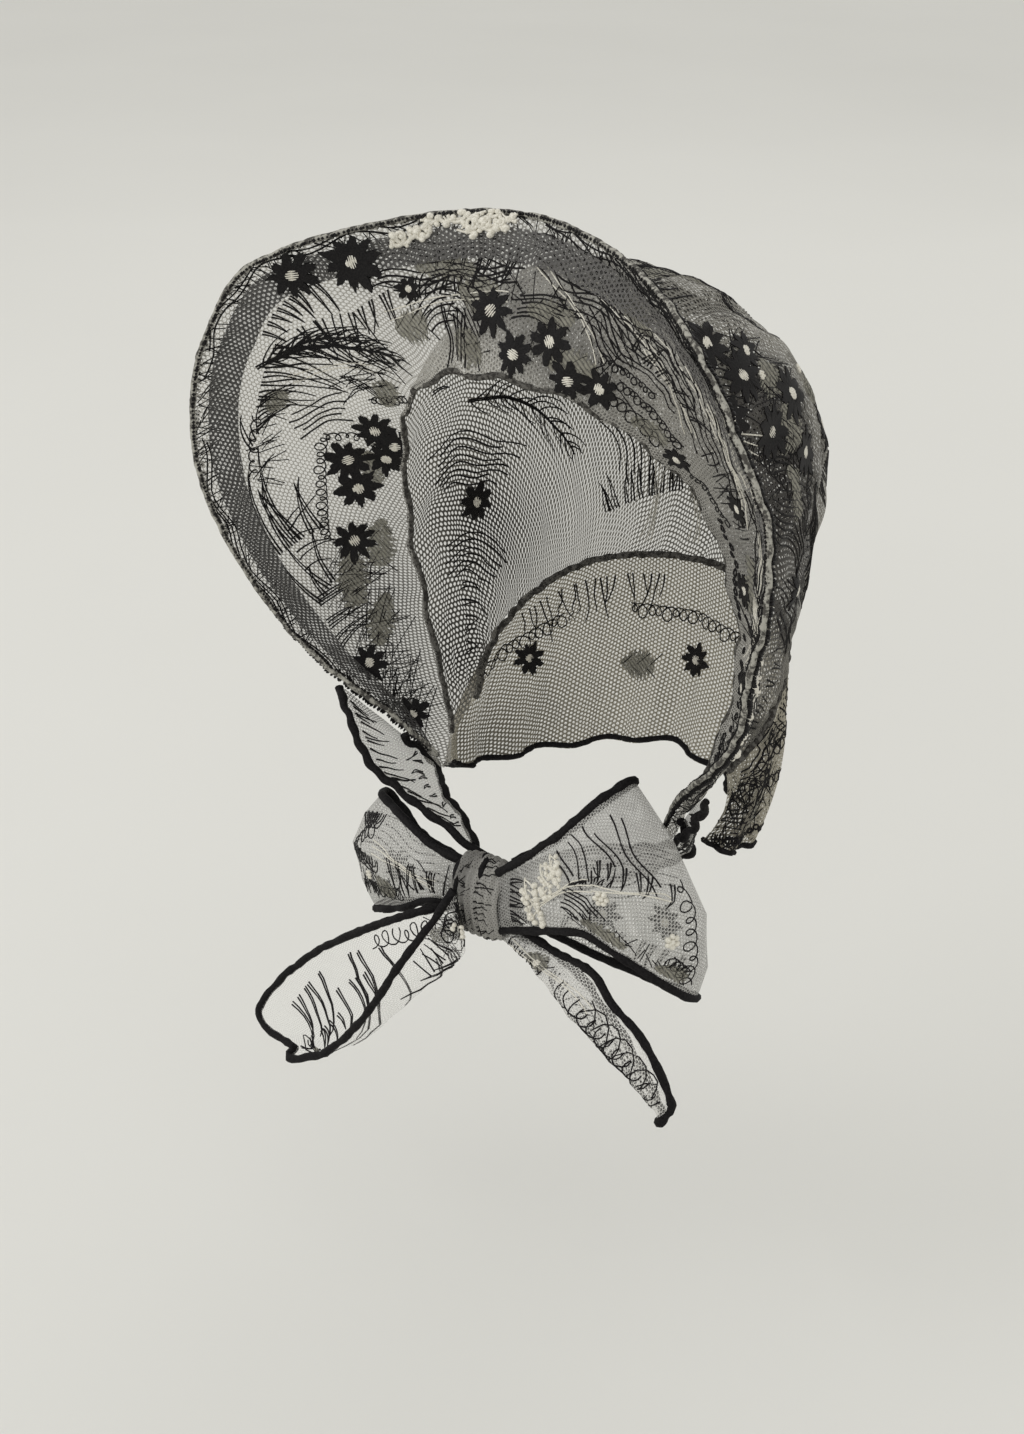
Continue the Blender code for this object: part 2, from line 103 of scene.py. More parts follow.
NAPE = [
    (0.0, 0.000, 1.000, -0.696),
    (0.2, 0.403, 0.938, -0.705),
    (0.4, 0.736, 0.763, -0.733),
    (0.6, 0.944, 0.475, -0.793),
    (0.8, 1.000, 0.175, -0.876),
    (1.0, 0.875, -0.100, -0.959),
]
HEM = [
    (0.0, 0.000, 1.000, -0.963),
    (0.2, 0.423, 0.862, -0.980),
    (0.4, 0.761, 0.552, -0.996),
    (0.6, 0.972, 0.138, -1.000),
    (0.8, 1.000, -0.241, -0.975),
    (1.0, 0.873, -0.414, -0.935),
]
# How far the crown stands off its two seams, as shares of CROWN_PUFF
PUFF = [
    (0.00, 0.000, 0.844, 1.000, 0.000, 0.822, 0.978),
    (0.30, 0.117, 0.744, 0.761, 0.211, 0.700, 0.833),
    (0.56, 0.144, 0.461, 0.289, 0.030, 0.150, 0.500),
    (0.80, 0.080, 0.180, 0.089, -0.020, 0.080, 0.156),
    (1.00, 0.044, 0.067, 0.000, 0.022, 0.044, 0.011),
]
# Ribbons: along, then out, back and up of the top edge, the middle and the lower edge, as shares of the reach
NEAR_LOOP = [
    (0.00, 0.000, -0.075, 0.185, 0.000, -0.095, 0.060, 0.000, -0.080, -0.050),
    (0.10, 0.172, -0.080, 0.330, 0.224, -0.150, 0.200, 0.230, -0.120, 0.050),
    (0.25, 0.332, -0.060, 0.490, 0.541, -0.230, 0.400, 0.500, -0.180, 0.150),
    (0.37, 0.424, 0.040, 0.599, 0.807, -0.180, 0.400, 0.727, -0.130, 0.054),
    (0.47, 0.478, 0.160, 0.650, 0.967, 0.050, 0.270, 0.867, 0.010, -0.100),
    (0.55, 0.463, 0.250, 0.610, 0.907, 0.210, 0.130, 0.833, 0.150, -0.180),
    (0.70, 0.307, 0.260, 0.460, 0.563, 0.260, 0.100, 0.587, 0.190, -0.200),
    (0.86, 0.147, 0.130, 0.290, 0.247, 0.150, 0.100, 0.277, 0.120, -0.120),
    (1.00, 0.000, 0.045, 0.185, 0.000, 0.050, 0.060, 0.000, 0.045, -0.010),
]
FAR_LOOP = [
    (0.00, 0.000, -0.020, 0.160, 0.000, -0.030, 0.060, 0.000, -0.020, -0.050),
    (0.14, 0.177, -0.050, 0.200, 0.167, -0.120, 0.110, 0.163, -0.080, -0.010),
    (0.30, 0.397, 0.010, 0.255, 0.430, -0.100, 0.120, 0.387, -0.040, -0.140),
    (0.46, 0.597, 0.130, 0.255, 0.757, 0.060, 0.020, 0.575, 0.050, -0.240),
    (0.56, 0.617, 0.210, 0.220, 0.807, 0.170, -0.040, 0.607, 0.150, -0.270),
    (0.78, 0.354, 0.140, 0.110, 0.467, 0.180, -0.060, 0.387, 0.140, -0.190),
    (1.00, 0.000, 0.035, 0.120, 0.000, 0.040, 0.040, 0.000, 0.035, -0.050),
]
NEAR_TAIL = [
    (0.00, 0.000, -0.022, -0.040, 0.000, -0.040, -0.090, 0.000, 0.000, -0.085),
    (0.22, 0.247, -0.075, -0.055, 0.222, -0.165, -0.100, 0.193, -0.030, -0.085),
    (0.40, 0.443, -0.146, -0.035, 0.378, -0.250, -0.145, 0.332, -0.055, -0.120),
    (0.55, 0.534, -0.165, -0.113, 0.502, -0.270, -0.205, 0.443, -0.070, -0.200),
    (0.70, 0.645, -0.165, -0.196, 0.603, -0.250, -0.295, 0.552, -0.085, -0.290),
    (0.84, 0.728, -0.160, -0.322, 0.688, -0.215, -0.385, 0.642, -0.095, -0.400),
    (1.00, 0.767, -0.145, -0.440, 0.737, -0.175, -0.480, 0.708, -0.100, -0.490),
]
FAR_TAIL = [
    (0.00, 0.004, -0.098, 0.080, 0.000, -0.105, 0.020, 0.000, -0.070, 0.010),
    (0.16, 0.030, -0.190, -0.015, -0.128, -0.192, -0.090, 0.172, -0.150, -0.060),
    (0.38, 0.112, -0.275, -0.174, -0.085, -0.250, -0.178, 0.469, -0.100, -0.264),
    (0.60, 0.222, -0.300, -0.373, 0.076, -0.258, -0.345, 0.693, -0.067, -0.439),
    (0.80, 0.383, -0.292, -0.584, 0.282, -0.242, -0.556, 0.861, -0.075, -0.612),
    (0.94, 0.575, -0.267, -0.736, 0.512, -0.225, -0.713, 0.920, -0.125, -0.724),
    (1.00, 0.693, -0.245, -0.780, 0.657, -0.205, -0.750, 0.862, -0.160, -0.765),
]
NEAR_TIE = [
    (0.25, 0.831, 0.340, 0.540, 0.771, 0.460, 0.410, 0.691, 0.570, 0.290),
    (0.50, 0.621, 0.445, 0.340, 0.551, 0.495, 0.245, 0.481, 0.515, 0.150),
    (0.75, 0.316, 0.375, 0.260, 0.266, 0.400, 0.155, 0.231, 0.375, 0.050),
    (0.90, 0.141, 0.260, 0.215, 0.126, 0.270, 0.105, 0.116, 0.250, 0.010),
    (1.00, 0.000, 0.094, 0.150, 0.000, 0.098, 0.075, 0.000, 0.094, 0.000),
]
FAR_TIE = [
    (0.25, 0.811, 0.082, 0.722, 0.751, 0.330, 0.540, 0.691, 0.590, 0.310),
    (0.50, 0.665, 0.059, 0.527, 0.591, 0.250, 0.400, 0.511, 0.430, 0.260),
    (0.75, 0.432, 0.100, 0.370, 0.371, 0.240, 0.280, 0.311, 0.350, 0.170),
    (1.00, 0.000, 0.102, 0.170, 0.000, 0.108, 0.090, 0.000, 0.100, 0.010),
]


def spline(table: Sequence[Sequence[float]], at: Array) -> Array:
    """Reads a smooth line through the rows of a table.

    Args:
        table: rows of a share along and then the values there.
        at: the shares to read at.

    Returns:
        One row of values for each share.
    """
    rows = np.array(table, float)
    along, value = rows[:, 0], rows[:, 1:]
    last = len(rows) - 1
    before = np.maximum(np.arange(last + 1) - 1, 0)
    after = np.minimum(np.arange(last + 1) + 1, last)
    slope = (value[after] - value[before]) / (along[after] - along[before])[:, None]
    at = np.atleast_1d(np.asarray(at, float))
    k = np.clip(np.searchsorted(along, at, side="right") - 1, 0, last - 1)
    span = (along[k + 1] - along[k])[:, None]
    s = (at[:, None] - along[k][:, None]) / span
    return (
        (2 * s**3 - 3 * s**2 + 1) * value[k]
        + (s**3 - 2 * s**2 + s) * span * slope[k]
        + (3 * s**2 - 2 * s**3) * value[k + 1]
        + (s**3 - s**2) * span * slope[k + 1]
    )


def both_sides(table: Sequence[Sequence[float]], side_columns: Sequence[int] = (1,)) -> list[list[float]]:
    """Carries a table on to the wearer's right by turning its side columns round.

    Args:
        table: rows from the middle to the wearer's left.
        side_columns: the columns whose sign turns.

    Returns:
        The rows of both sides, in order.
    """
    other = [list(row) for row in table[::-1] if row[0] > 0]
    for row in other:
        row[0] = -row[0]
        for column in side_columns:
            row[column] = -row[column]
    return other + [list(row) for row in table]


def unit(vectors: Array) -> Array:
    """Scales each vector to length one."""
    return vectors / np.maximum(np.linalg.norm(vectors, axis=-1, keepdims=True), 1e-12)


def column(values: Array) -> Array:
    """Turns a row of values into a column, ready to scale points."""
    return np.asarray(values, float)[:, None]


def wave(at: Array, count: float) -> Array:
    """A cosine that repeats count times in one share, as a column."""
    return column(np.cos(2 * math.pi * count * np.asarray(at)))


def grid_faces(rows: int, columns: int) -> Faces:
    """The faces of a grid of points that is kept row by row."""
    return [
        (i * columns + j, (i + 1) * columns + j, (i + 1) * columns + j + 1, i * columns + j + 1)
        for i in range(rows - 1)
        for j in range(columns - 1)
    ]


def mesh_of(name: str, points: Array, edges: Sequence[tuple[int, ...]] = (),
            faces: Sequence[tuple[int, ...]] = ()) -> bpy.types.Mesh:
    """Makes a mesh of plain points with the edges or faces between them.

    Args:
        name: the mesh's name.
        points: the places, one row each.
        edges: pairs of point numbers.
        faces: rings of point numbers.

    Returns:
        The mesh.
    """
    mesh = bpy.data.meshes.new(name)
    mesh.from_pydata([tuple(map(float, point)) for point in points], list(edges), list(faces))
    return mesh


def settle(piece: bpy.types.Object, modifier: bpy.types.Modifier) -> None:
    """Keeps what a modifier made as the piece's plain mesh.

    Args:
        piece: the piece.
        modifier: its one modifier, which is taken off.
    """
    graph = bpy.context.evaluated_depsgraph_get()
    made = bpy.data.meshes.new_from_object(piece.evaluated_get(graph))
    piece.modifiers.remove(modifier)
    piece.data = made


def grown(foot: float, way: Array, reach: float) -> Array:
    """A stroke that starts at a foot on the motif's line and turns as it goes."""
    step = np.stack([np.cos(way), np.sin(way)], 1) * reach / (len(way) - 1)
    return np.concatenate([[[foot, 0.0]], (foot, 0) + np.cumsum(step[:-1], axis=0)])


@dataclass(frozen=True)
class Fold:
    """A ridge in a cloth, from one place to another, in shares."""

    at: float
    across: float
    end_at: float
    end_across: float
    width: float
    height: float


@dataclass(frozen=True)
class Shade:
    """A soft spot where the net is darker or denser than round it."""

    at: float
    across: float
    reach_at: float
    reach_across: float
    tone: float
    cover: float


def neck_room(at: Array) -> Array:
    """The room left at the neck seam, which widens towards the ends of the seam."""
    return NECK_ROOM[0] + (NECK_ROOM[1] - NECK_ROOM[0]) * column(np.abs(at)) ** 4


class Surface:
    """A cloth as a function of two shares, with its fine folds."""

    folds: Sequence[Fold] = ()
    length: float = 0.4
    width: float = 0.08
    ripple: float = 0.0
    ripple_waves: Sequence[Triple] = ()

    def base(self, at: Array, across: Array) -> Array:
        """The plain form of the cloth, one point for each pair of shares."""
        raise NotImplementedError

    def relief(self, at: Array, across: Array) -> Array:
        """How far the folds and ripples lift the cloth off its plain form.

        Args:
            at: shares along.
            across: shares across.

        Returns:
            A height in metres for each place.
        """
        height = np.zeros_like(at)
        for fold in self.folds:
            start = np.array([fold.at * self.length, fold.across * self.width])
            line = np.array([fold.end_at * self.length, fold.end_across * self.width]) - start
            place = np.stack([at * self.length, across * self.width], 1) - start
            share = np.clip(place @ line / (line @ line), 0, 1)
            off = np.linalg.norm(place - share[:, None] * line, axis=1)
            rise = np.exp(-((off / fold.width) ** 2)) * np.sin(math.pi * (0.12 + 0.76 * share))
            height += fold.height * rise
        for along, over, turn in self.ripple_waves:
            height += self.ripple * np.sin(2 * math.pi * (along * at + over * across) + turn)
        return height

    def base_axes(self, at: Array, across: Array) -> tuple[Array, Array]:
        """The two slopes of the plain form, along and across."""
        step = SMALL_STEP
        along = (self.base(at + step, across) - self.base(at - step, across)) / (2 * step)
        over = (self.base(at, across + step) - self.base(at, across - step)) / (2 * step)
        return along, over

    def place(self, at: Array, across: Array, lift: float | Array = 0.0) -> Array:
        """Places shares in space.

        Args:
            at: shares along.
            across: shares across.
            lift: how far off the cloth, in metres, along its normal.

        Returns:
            One point for each pair of shares.
        """
        along, over = self.base_axes(at, across)
        normal = unit(np.cross(along, over))
        return self.base(at, across) + normal * column(self.relief(at, across) + lift)

    def axes(self, at: Array, across: Array) -> tuple[Array, Array, Array]:
        """The two slopes and the normal of the cloth with its folds."""
        step = SMALL_STEP * 4
        along = (self.place(at + step, across) - self.place(at - step, across)) / (2 * step)
        over = (self.place(at, across + step) - self.place(at, across - step)) / (2 * step)
        return along, over, unit(np.cross(along, over))

    def lay(self, start: Pair, end: Pair, spots: Array) -> Array:
        """Lays a flat drawing on the cloth.

        Args:
            start: the shares where the drawing's line begins.
            end: the shares where its line ends.
            spots: drawing points, as a share of that line and metres to its left.

        Returns:
            The shares of each point.
        """
        first, way = np.array(start, float), np.array(end, float) - np.array(start, float)
        base = first + spots[:, :1] * way
        along, over, normal = self.axes(base[:, 0], base[:, 1])
        ahead = unit(along * way[0] + over * way[1])
        left = np.cross(normal, ahead) * spots[:, 1:2]
        aa, ab, bb = np.sum(along * along, 1), np.sum(along * over, 1), np.sum(over * over, 1)
        la, lb = np.sum(left * along, 1), np.sum(left * over, 1)
        room = aa * bb - ab * ab
        moved = np.stack([(bb * la - ab * lb) / room, (aa * lb - ab * la) / room], 1)
        return base + moved

    def spread_of(self, start: Pair, end: Pair) -> float:
        """The length on the cloth of the line between two pairs of shares."""
        share = np.linspace(0, 1, 24)
        at = start[0] + (end[0] - start[0]) * share
        across = start[1] + (end[1] - start[1]) * share
        line = self.place(at, across)
        return float(np.linalg.norm(np.diff(line, axis=0), axis=1).sum())


@dataclass
class BrimSurface(Surface):
    """The standing brim, from its rim, across 0, to the edge round the face, across 1."""

    belly: float = 0.006
    gather: float = 0.0011
    gathers: int = 8
    length: float = 0.40
    width: float = 0.075
    ripple: float = 0.00022
    folds: Sequence[Fold] = ()
    ripple_waves: Sequence[Triple] = (
        (9.0, 0.6, 0.4), (17.0, -0.9, 1.9), (31.0, 1.4, 0.2), (4.0, 2.3, 2.6))

    def base(self, at: Array, across: Array) -> Array:
        """The brim without its fine folds."""
        outer = spline(both_sides(RIM), at) * (RIM_HALF_WIDTH, -RIM_FORWARD, JAW_DROP)
        inner = spline(both_sides(THROAT), at) * (THROAT_HALF_WIDTH, -THROAT_FORWARD, JAW_DROP)
        share = column(across)
        flat = outer + (inner - outer) * share
        away = unit(flat * (1, 0, 1) + (0, 0, JAW_DROP / 2))
        bulge = self.belly * 4 * share * (1 - share)
        return flat + (bulge + self.gather * share**2 * wave(at, self.gathers)) * away


@dataclass
class CrownSurface(Surface):
    """The puffed crown, from the edge round the face, across 0, to the neck seam, across 1."""

    brim: BrimSurface = field(default_factory=BrimSurface)
    face_room: float = 0.0025
    gather: float = 0.0018
    fade: float = 0.25
    length: float = 0.28
    width: float = 0.22
    ripple: float = 0.00045
    ripple_waves: Sequence[Triple] = (
        (6.0, 1.2, 0.4), (11.0, -2.1, 2.2), (19.0, 3.1, 1.2), (3.0, 5.3, 0.7))

    def base(self, at: Array, across: Array) -> Array:
        """The crown without its fine folds."""
        at = np.asarray(at, float)
        front = self.brim.base(at, np.ones_like(at))
        back = spline(both_sides(NAPE), at) * (NAPE_HALF_WIDTH, NAPE_BACK, JAW_DROP)
        puff = spline(both_sides(PUFF, (1, 4)), at) * CROWN_PUFF
        room = neck_room(at)
        first = self.face_room / (3 * np.linalg.norm(puff[:, :3], axis=1, keepdims=True))
        last = 1 - room / (3 * np.linalg.norm(puff[:, 3:], axis=1, keepdims=True))
        share = first + (last - first) * column(across)
        keep = 1 - share
        round_point = (
            keep**3 * front
            + 3 * keep**2 * share * (front + puff[:, :3])
            + 3 * keep * share**2 * (back + puff[:, 3:])
            + share**3 * back
        )
        near_seam = np.minimum(np.minimum(across, 1 - across), self.fade) / self.fade
        deep = self.gather * (1 - 4 * share * keep) ** 2 * column(near_seam)
        away = unit(round_point * (1, 0, 1) + (0, 0, JAW_DROP / 2))
        return round_point + deep * wave(at, self.brim.gathers) * away


@dataclass
class CurtainSurface(Surface):
    """The neck curtain, from the neck seam, across 0, to its hem, across 1."""

    flare: float = 0.005
    ruffle: float = 0.0030
    ruffles: int = 5
    length: float = 0.17
    width: float = 0.06
    ripple: float = 0.00035
    ripple_waves: Sequence[Triple] = (
        (8.0, 0.5, 0.4), (14.0, -0.8, 2.2), (23.0, 0.6, 1.2))

    def base(self, at: Array, across: Array) -> Array:
        """The curtain without its fine folds."""
        low = spline(both_sides(HEM), at) * (HEM_HALF_WIDTH, HEM_BACK, HEM_DROP)
        top = spline(both_sides(NAPE), at) * (NAPE_HALF_WIDTH, NAPE_BACK, JAW_DROP)
        room = neck_room(at)
        top = top + unit(low - top) * room
        share = column(across)
        flat = top + (low - top) * share
        away = unit(flat * (1, 1, 0))
        puffed = self.flare * 4 * share * (1 - share)
        return flat + (puffed + self.ruffle * share * wave(at, self.ruffles)) * away


@dataclass
class RibbonSurface(Surface):
    """A ribbon of the bow or a tie, from a table of its top edge, middle and lower edge."""

    table: Sequence[Sequence[float]] = ()
    reach: float = 0.1
    side: int = 1
    softness: float = 0.30
    sewn: Array | None = None
    length: float = 0.2
    width: float = 0.05
    ripple: float = 0.0003
    ripple_waves: Sequence[Triple] = ((5.0, 0.9, 0.4), (9.0, -1.3, 1.9))

    def __post_init__(self) -> None:
        """Turns the table into metres."""
        rows = [] if self.sewn is None else [[0.0, *np.ravel(self.sewn)]]
        for along, *shares in self.table:
            points = np.array(shares).reshape(3, 3) * self.reach + (KNOT_END, 0, 0)
            rows.append([along, *(points * (self.side, 1, 1) + KNOT_MIDDLE).ravel()])
        self.rows = rows

    def base(self, at: Array, across: Array) -> Array:
        """The ribbon without its fine folds."""
        lines = spline(self.rows, at).reshape(-1, 3, 3)
        top, middle, low = lines[:, 0], lines[:, 1], lines[:, 2]

        def bent(share: Array) -> Array:
            """The bent line across the ribbon, before it is softened."""
            upper = middle + (top - middle) * (1 - 2 * share)
            lower = middle + (low - middle) * (2 * share - 1)
            return np.where(share < 0.5, upper, lower)

        share = column(across)
        soft = self.softness
        return (bent(share - soft) + 2 * bent(share) + bent(share + soft)) / 4


@dataclass
class BandSurface(Surface):
    """The dark band on the inside of the brim, a little way in from its rim."""

    brim: BrimSurface = field(default_factory=BrimSurface)
    inset: float = 0.0080
    band_width: float = 0.015
    most: Pair = (0.38, 0.15)
    stand_off: float = 0.0014
    length: float = 0.36
    width: float = 0.015
    ripple: float = 0.0002
    ripple_waves: Sequence[Triple] = ((13.0, 0.5, 0.4), (29.0, -0.8, 1.2))

    def base(self, at: Array, across: Array) -> Array:
        """The band, which keeps its width until the brim grows too narrow for it."""
        outer = self.brim.base(at, np.zeros_like(at))
        inner = self.brim.base(at, np.ones_like(at))
        wide = np.linalg.norm(outer - inner, axis=1)
        most = self.most[0] + self.most[1] * across
        share = np.minimum((self.inset + self.band_width * across) / wide, most)
        return self.brim.place(at, share, -self.stand_off)


@dataclass
class KnotSurface(Surface):
    """The wrap of the knot: along runs round it from its back, and across from its right end to its left."""

    middle: Triple = (-0.0010, -0.086, -0.2485)
    half_width: float = 0.0120
    half_depth: float = 0.0118
    half_height: float = 0.0182
    taper: float = 0.14
    folds_round: int = 5
    fold_share: float = 0.03
    pleats: float = 3.5
    pleat_depth: float = 0.0007
    length: float = 0.095
    width: float = 0.016

    def base(self, at: Array, across: Array) -> Array:
        """The wrap with its folds and pleats."""
        share = across * 2 - 1
        turn = 2 * math.pi * at
        folded = 1 + self.fold_share * np.cos(self.folds_round * turn)
        swell = (1 - self.taper * np.abs(share) ** 3) * folded
        pleat = self.pleat_depth * np.cos(2 * math.pi * self.pleats * share + 1.3 * np.sin(turn))
        points = np.stack([
            share * self.half_width,
            (self.half_depth * swell + pleat) * np.sin(turn),
            (self.half_height * swell + pleat) * np.cos(turn),
        ], 1)
        return points + self.middle


class Tangle:
    """The nodes of a finish, added one by one."""

    def __init__(self, name: str) -> None:
        """Starts a finish that has one shader."""
        self.material = bpy.data.materials.new(name)
        self.material.use_nodes = True
        self.tree = self.material.node_tree
        self.shader = self.tree.nodes["Principled BSDF"]

    def link(self, value: object, socket: bpy.types.NodeSocket) -> None:
        """Joins an output, or sets a plain value."""
        if isinstance(value, bpy.types.NodeSocket):
            self.tree.links.new(value, socket)
        elif isinstance(value, tuple) and socket.type == "RGBA":
            socket.default_value = (*value, 1) if len(value) == 3 else value
        else:
            socket.default_value = value

    def math(self, operation: str, *values: object, clamp: bool = False) -> bpy.types.NodeSocket:
        """Adds one step of arithmetic."""
        node = self.tree.nodes.new("ShaderNodeMath")
        node.operation = operation
        node.use_clamp = clamp
        for socket, value in zip(node.inputs, values):
            self.link(value, socket)
        return node.outputs[0]

    def node(self, kind: str, output: str | int, settings: dict[str, object] | None = None,
             **inputs: object) -> bpy.types.NodeSocket:
        """Adds a node.

        Args:
            kind: the node's type.
            output: the output wanted.
            settings: values of the node itself.
            **inputs: its inputs, with _ for a space.

        Returns:
            The output socket.
        """
        node = self.tree.nodes.new(kind)
        for key, value in (settings or {}).items():
            setattr(node, key, value)
        for key, value in inputs.items():
            self.link(value, node.inputs[key.replace("_", " ")])
        return node.outputs[output]

    def mix(self, share: object, first: object, second: object) -> bpy.types.NodeSocket:
        """Mixes two colours."""
        node = self.tree.nodes.new("ShaderNodeMix")
        node.data_type = "RGBA"
        self.link(share, node.inputs[0])
        self.link(first, node.inputs[6])
        self.link(second, node.inputs[7])
        return node.outputs[2]

    def span(self, value: object, low: float, high: float, start: float = 0.0,
             end: float = 1.0) -> bpy.types.NodeSocket:
        """Carries a value from one range to another and stops at its ends."""
        return self.node("ShaderNodeMapRange", 0, {"clamp": True}, Value=value, From_Min=low, From_Max=high,
                         To_Min=start, To_Max=end)

    def finish(self, **inputs: object) -> bpy.types.Material:
        """Sets the shader's inputs and gives the finish."""
        for key, value in inputs.items():
            self.link(value, self.shader.inputs[key.replace("_", " ")])
        return self.material


@dataclass(frozen=True)
class NetFinish:
    """Sheer net of two laid over each other: threads round hexagonal holes."""

    name: str
    pale: Colour = (0.66, 0.64, 0.585)
    dark: Colour = (0.040, 0.038, 0.036)
    cell: float = 0.0017
    threads: float = -0.55
    cover_pull: float = 2.2
    softness: float = 0.55
    fine_cell: float = 0.0009
    fine_threads: float = -0.4
    fine_share: float = 0.45
    least: float = 0.06
    roughness: float = 0.75

    def holes(self, t: Tangle, u: object, v: object, cell: float) -> bpy.types.NodeSocket:
        """The height of a hexagonal net: high in its holes and low at its threads."""
        turns = 2 * math.pi / cell
        total: object = 0.0
        for way in (0.0, math.pi / 3, 2 * math.pi / 3):
            along = t.math("MULTIPLY", u, turns * math.cos(way))
            over = t.math("MULTIPLY", v, turns * math.sin(way))
            total = t.math("ADD", t.math("COSINE", t.math("ADD", along, over)), total)
        return total

    def make(self) -> bpy.types.Material:
        """Builds the finish."""
        t = Tangle(self.name)
        place = t.node("ShaderNodeUVMap", 0, {"uv_map": "net"})
        object_place = t.node("ShaderNodeTexCoord", "Object")
        pull = t.node("ShaderNodeVectorMath", 0, {"operation": "MULTIPLY_ADD"})
        node = pull.node
        noise = t.node("ShaderNodeTexNoise", "Color", Vector=object_place, Scale=45.0, Detail=2.0)
        t.link(noise, node.inputs[0])
        node.inputs[1].default_value = (self.cell * 1.6,) * 3
        t.link(place, node.inputs[2])
        split = t.tree.nodes.new("ShaderNodeSeparateXYZ")
        t.link(pull, split.inputs[0])
        u, v = split.outputs[0], split.outputs[1]
        tone = t.node("ShaderNodeAttribute", "Fac", {"attribute_name": "tone"})
        cover = t.node("ShaderNodeAttribute", "Fac", {"attribute_name": "cover"})
        patchy = t.node("ShaderNodeTexNoise", "Fac", Vector=object_place, Scale=22.0, Detail=4.0,
                        Roughness=0.7)
        coarse = self.holes(t, u, v, self.cell)
        fine = self.holes(t, v, u, self.fine_cell)
        limit = t.math("MULTIPLY_ADD", cover, self.cover_pull, self.threads)
        thread = t.span(t.math("SUBTRACT", limit, coarse), -self.softness, self.softness)
        fine_limit = t.math("MULTIPLY_ADD", cover, self.cover_pull, self.fine_threads)
        second = t.span(t.math("SUBTRACT", fine_limit, fine), -0.8, 0.8, 0.0, self.fine_share)
        alpha = t.math("MAXIMUM", thread, second)
        alpha = t.math("MAXIMUM", alpha, self.least)
        dark = t.math("MULTIPLY_ADD", t.math("SUBTRACT", patchy, 0.5), 0.5, tone, clamp=True)
        colour = t.mix(dark, self.pale, self.dark)
        return t.finish(Base_Color=colour, Alpha=alpha, Roughness=self.roughness)


@dataclass(frozen=True)
class ThreadFinish:
    """Plain thread or rolled edge, with the fine ribs of its twist."""

    name: str
    colour: Colour = (0.004, 0.0035, 0.004)
    other: Colour = (0.013, 0.012, 0.012)
    roughness: float = 0.6
    rib: float = 0.0006
    mottled: float = 0.0
    shine: float = 0.15

    def make(self) -> bpy.types.Material:
        """Builds the finish."""
        t = Tangle(self.name)
        place = t.node("ShaderNodeTexCoord", "Object")
        grain = t.node("ShaderNodeTexNoise", "Fac", Vector=place, Scale=1 / self.rib, Detail=2.0)
        share = t.span(grain, 0.35, 0.65)
        if self.mottled:
            spots = t.node("ShaderNodeTexNoise", "Fac", Vector=place, Scale=1 / self.mottled, Detail=3.0,
                           Roughness=0.7)
            share = t.span(spots, 0.44, 0.56)
        bump = t.node("ShaderNodeBump", 0, Height=grain, Strength=0.4, Distance=self.rib * 0.4)
        return t.finish(Base_Color=t.mix(share, self.colour, self.other), Normal=bump,
                        Roughness=self.roughness, Specular_IOR_Level=self.shine)


@dataclass(frozen=True)
class LeafFinish:
    """Dense doubled tulle with hatching, cut as leaves."""

    name: str
    colour: Colour = (0.27, 0.26, 0.215)
    line: Colour = (0.10, 0.095, 0.08)
    alpha: float = 0.72

    def make(self) -> bpy.types.Material:
        """Builds the finish."""
        t = Tangle(self.name)
        place = t.node("ShaderNodeTexCoord", "Object")
        hatch = t.node("ShaderNodeTexWave", "Fac", {"bands_direction": "DIAGONAL"}, Vector=place, Scale=260.0,
                       Distortion=2.5, Detail=2.0)
        grain = t.node("ShaderNodeTexNoise", "Fac", Vector=place, Scale=500.0, Detail=2.0)
        colour = t.mix(t.span(hatch, 0.45, 0.75, 0.0, 0.8), self.colour, self.line)
        alpha = t.span(grain, 0.3, 0.6, self.alpha - 0.25, self.alpha + 0.15)
        return t.finish(Base_Color=colour, Alpha=alpha, Roughness=0.8)


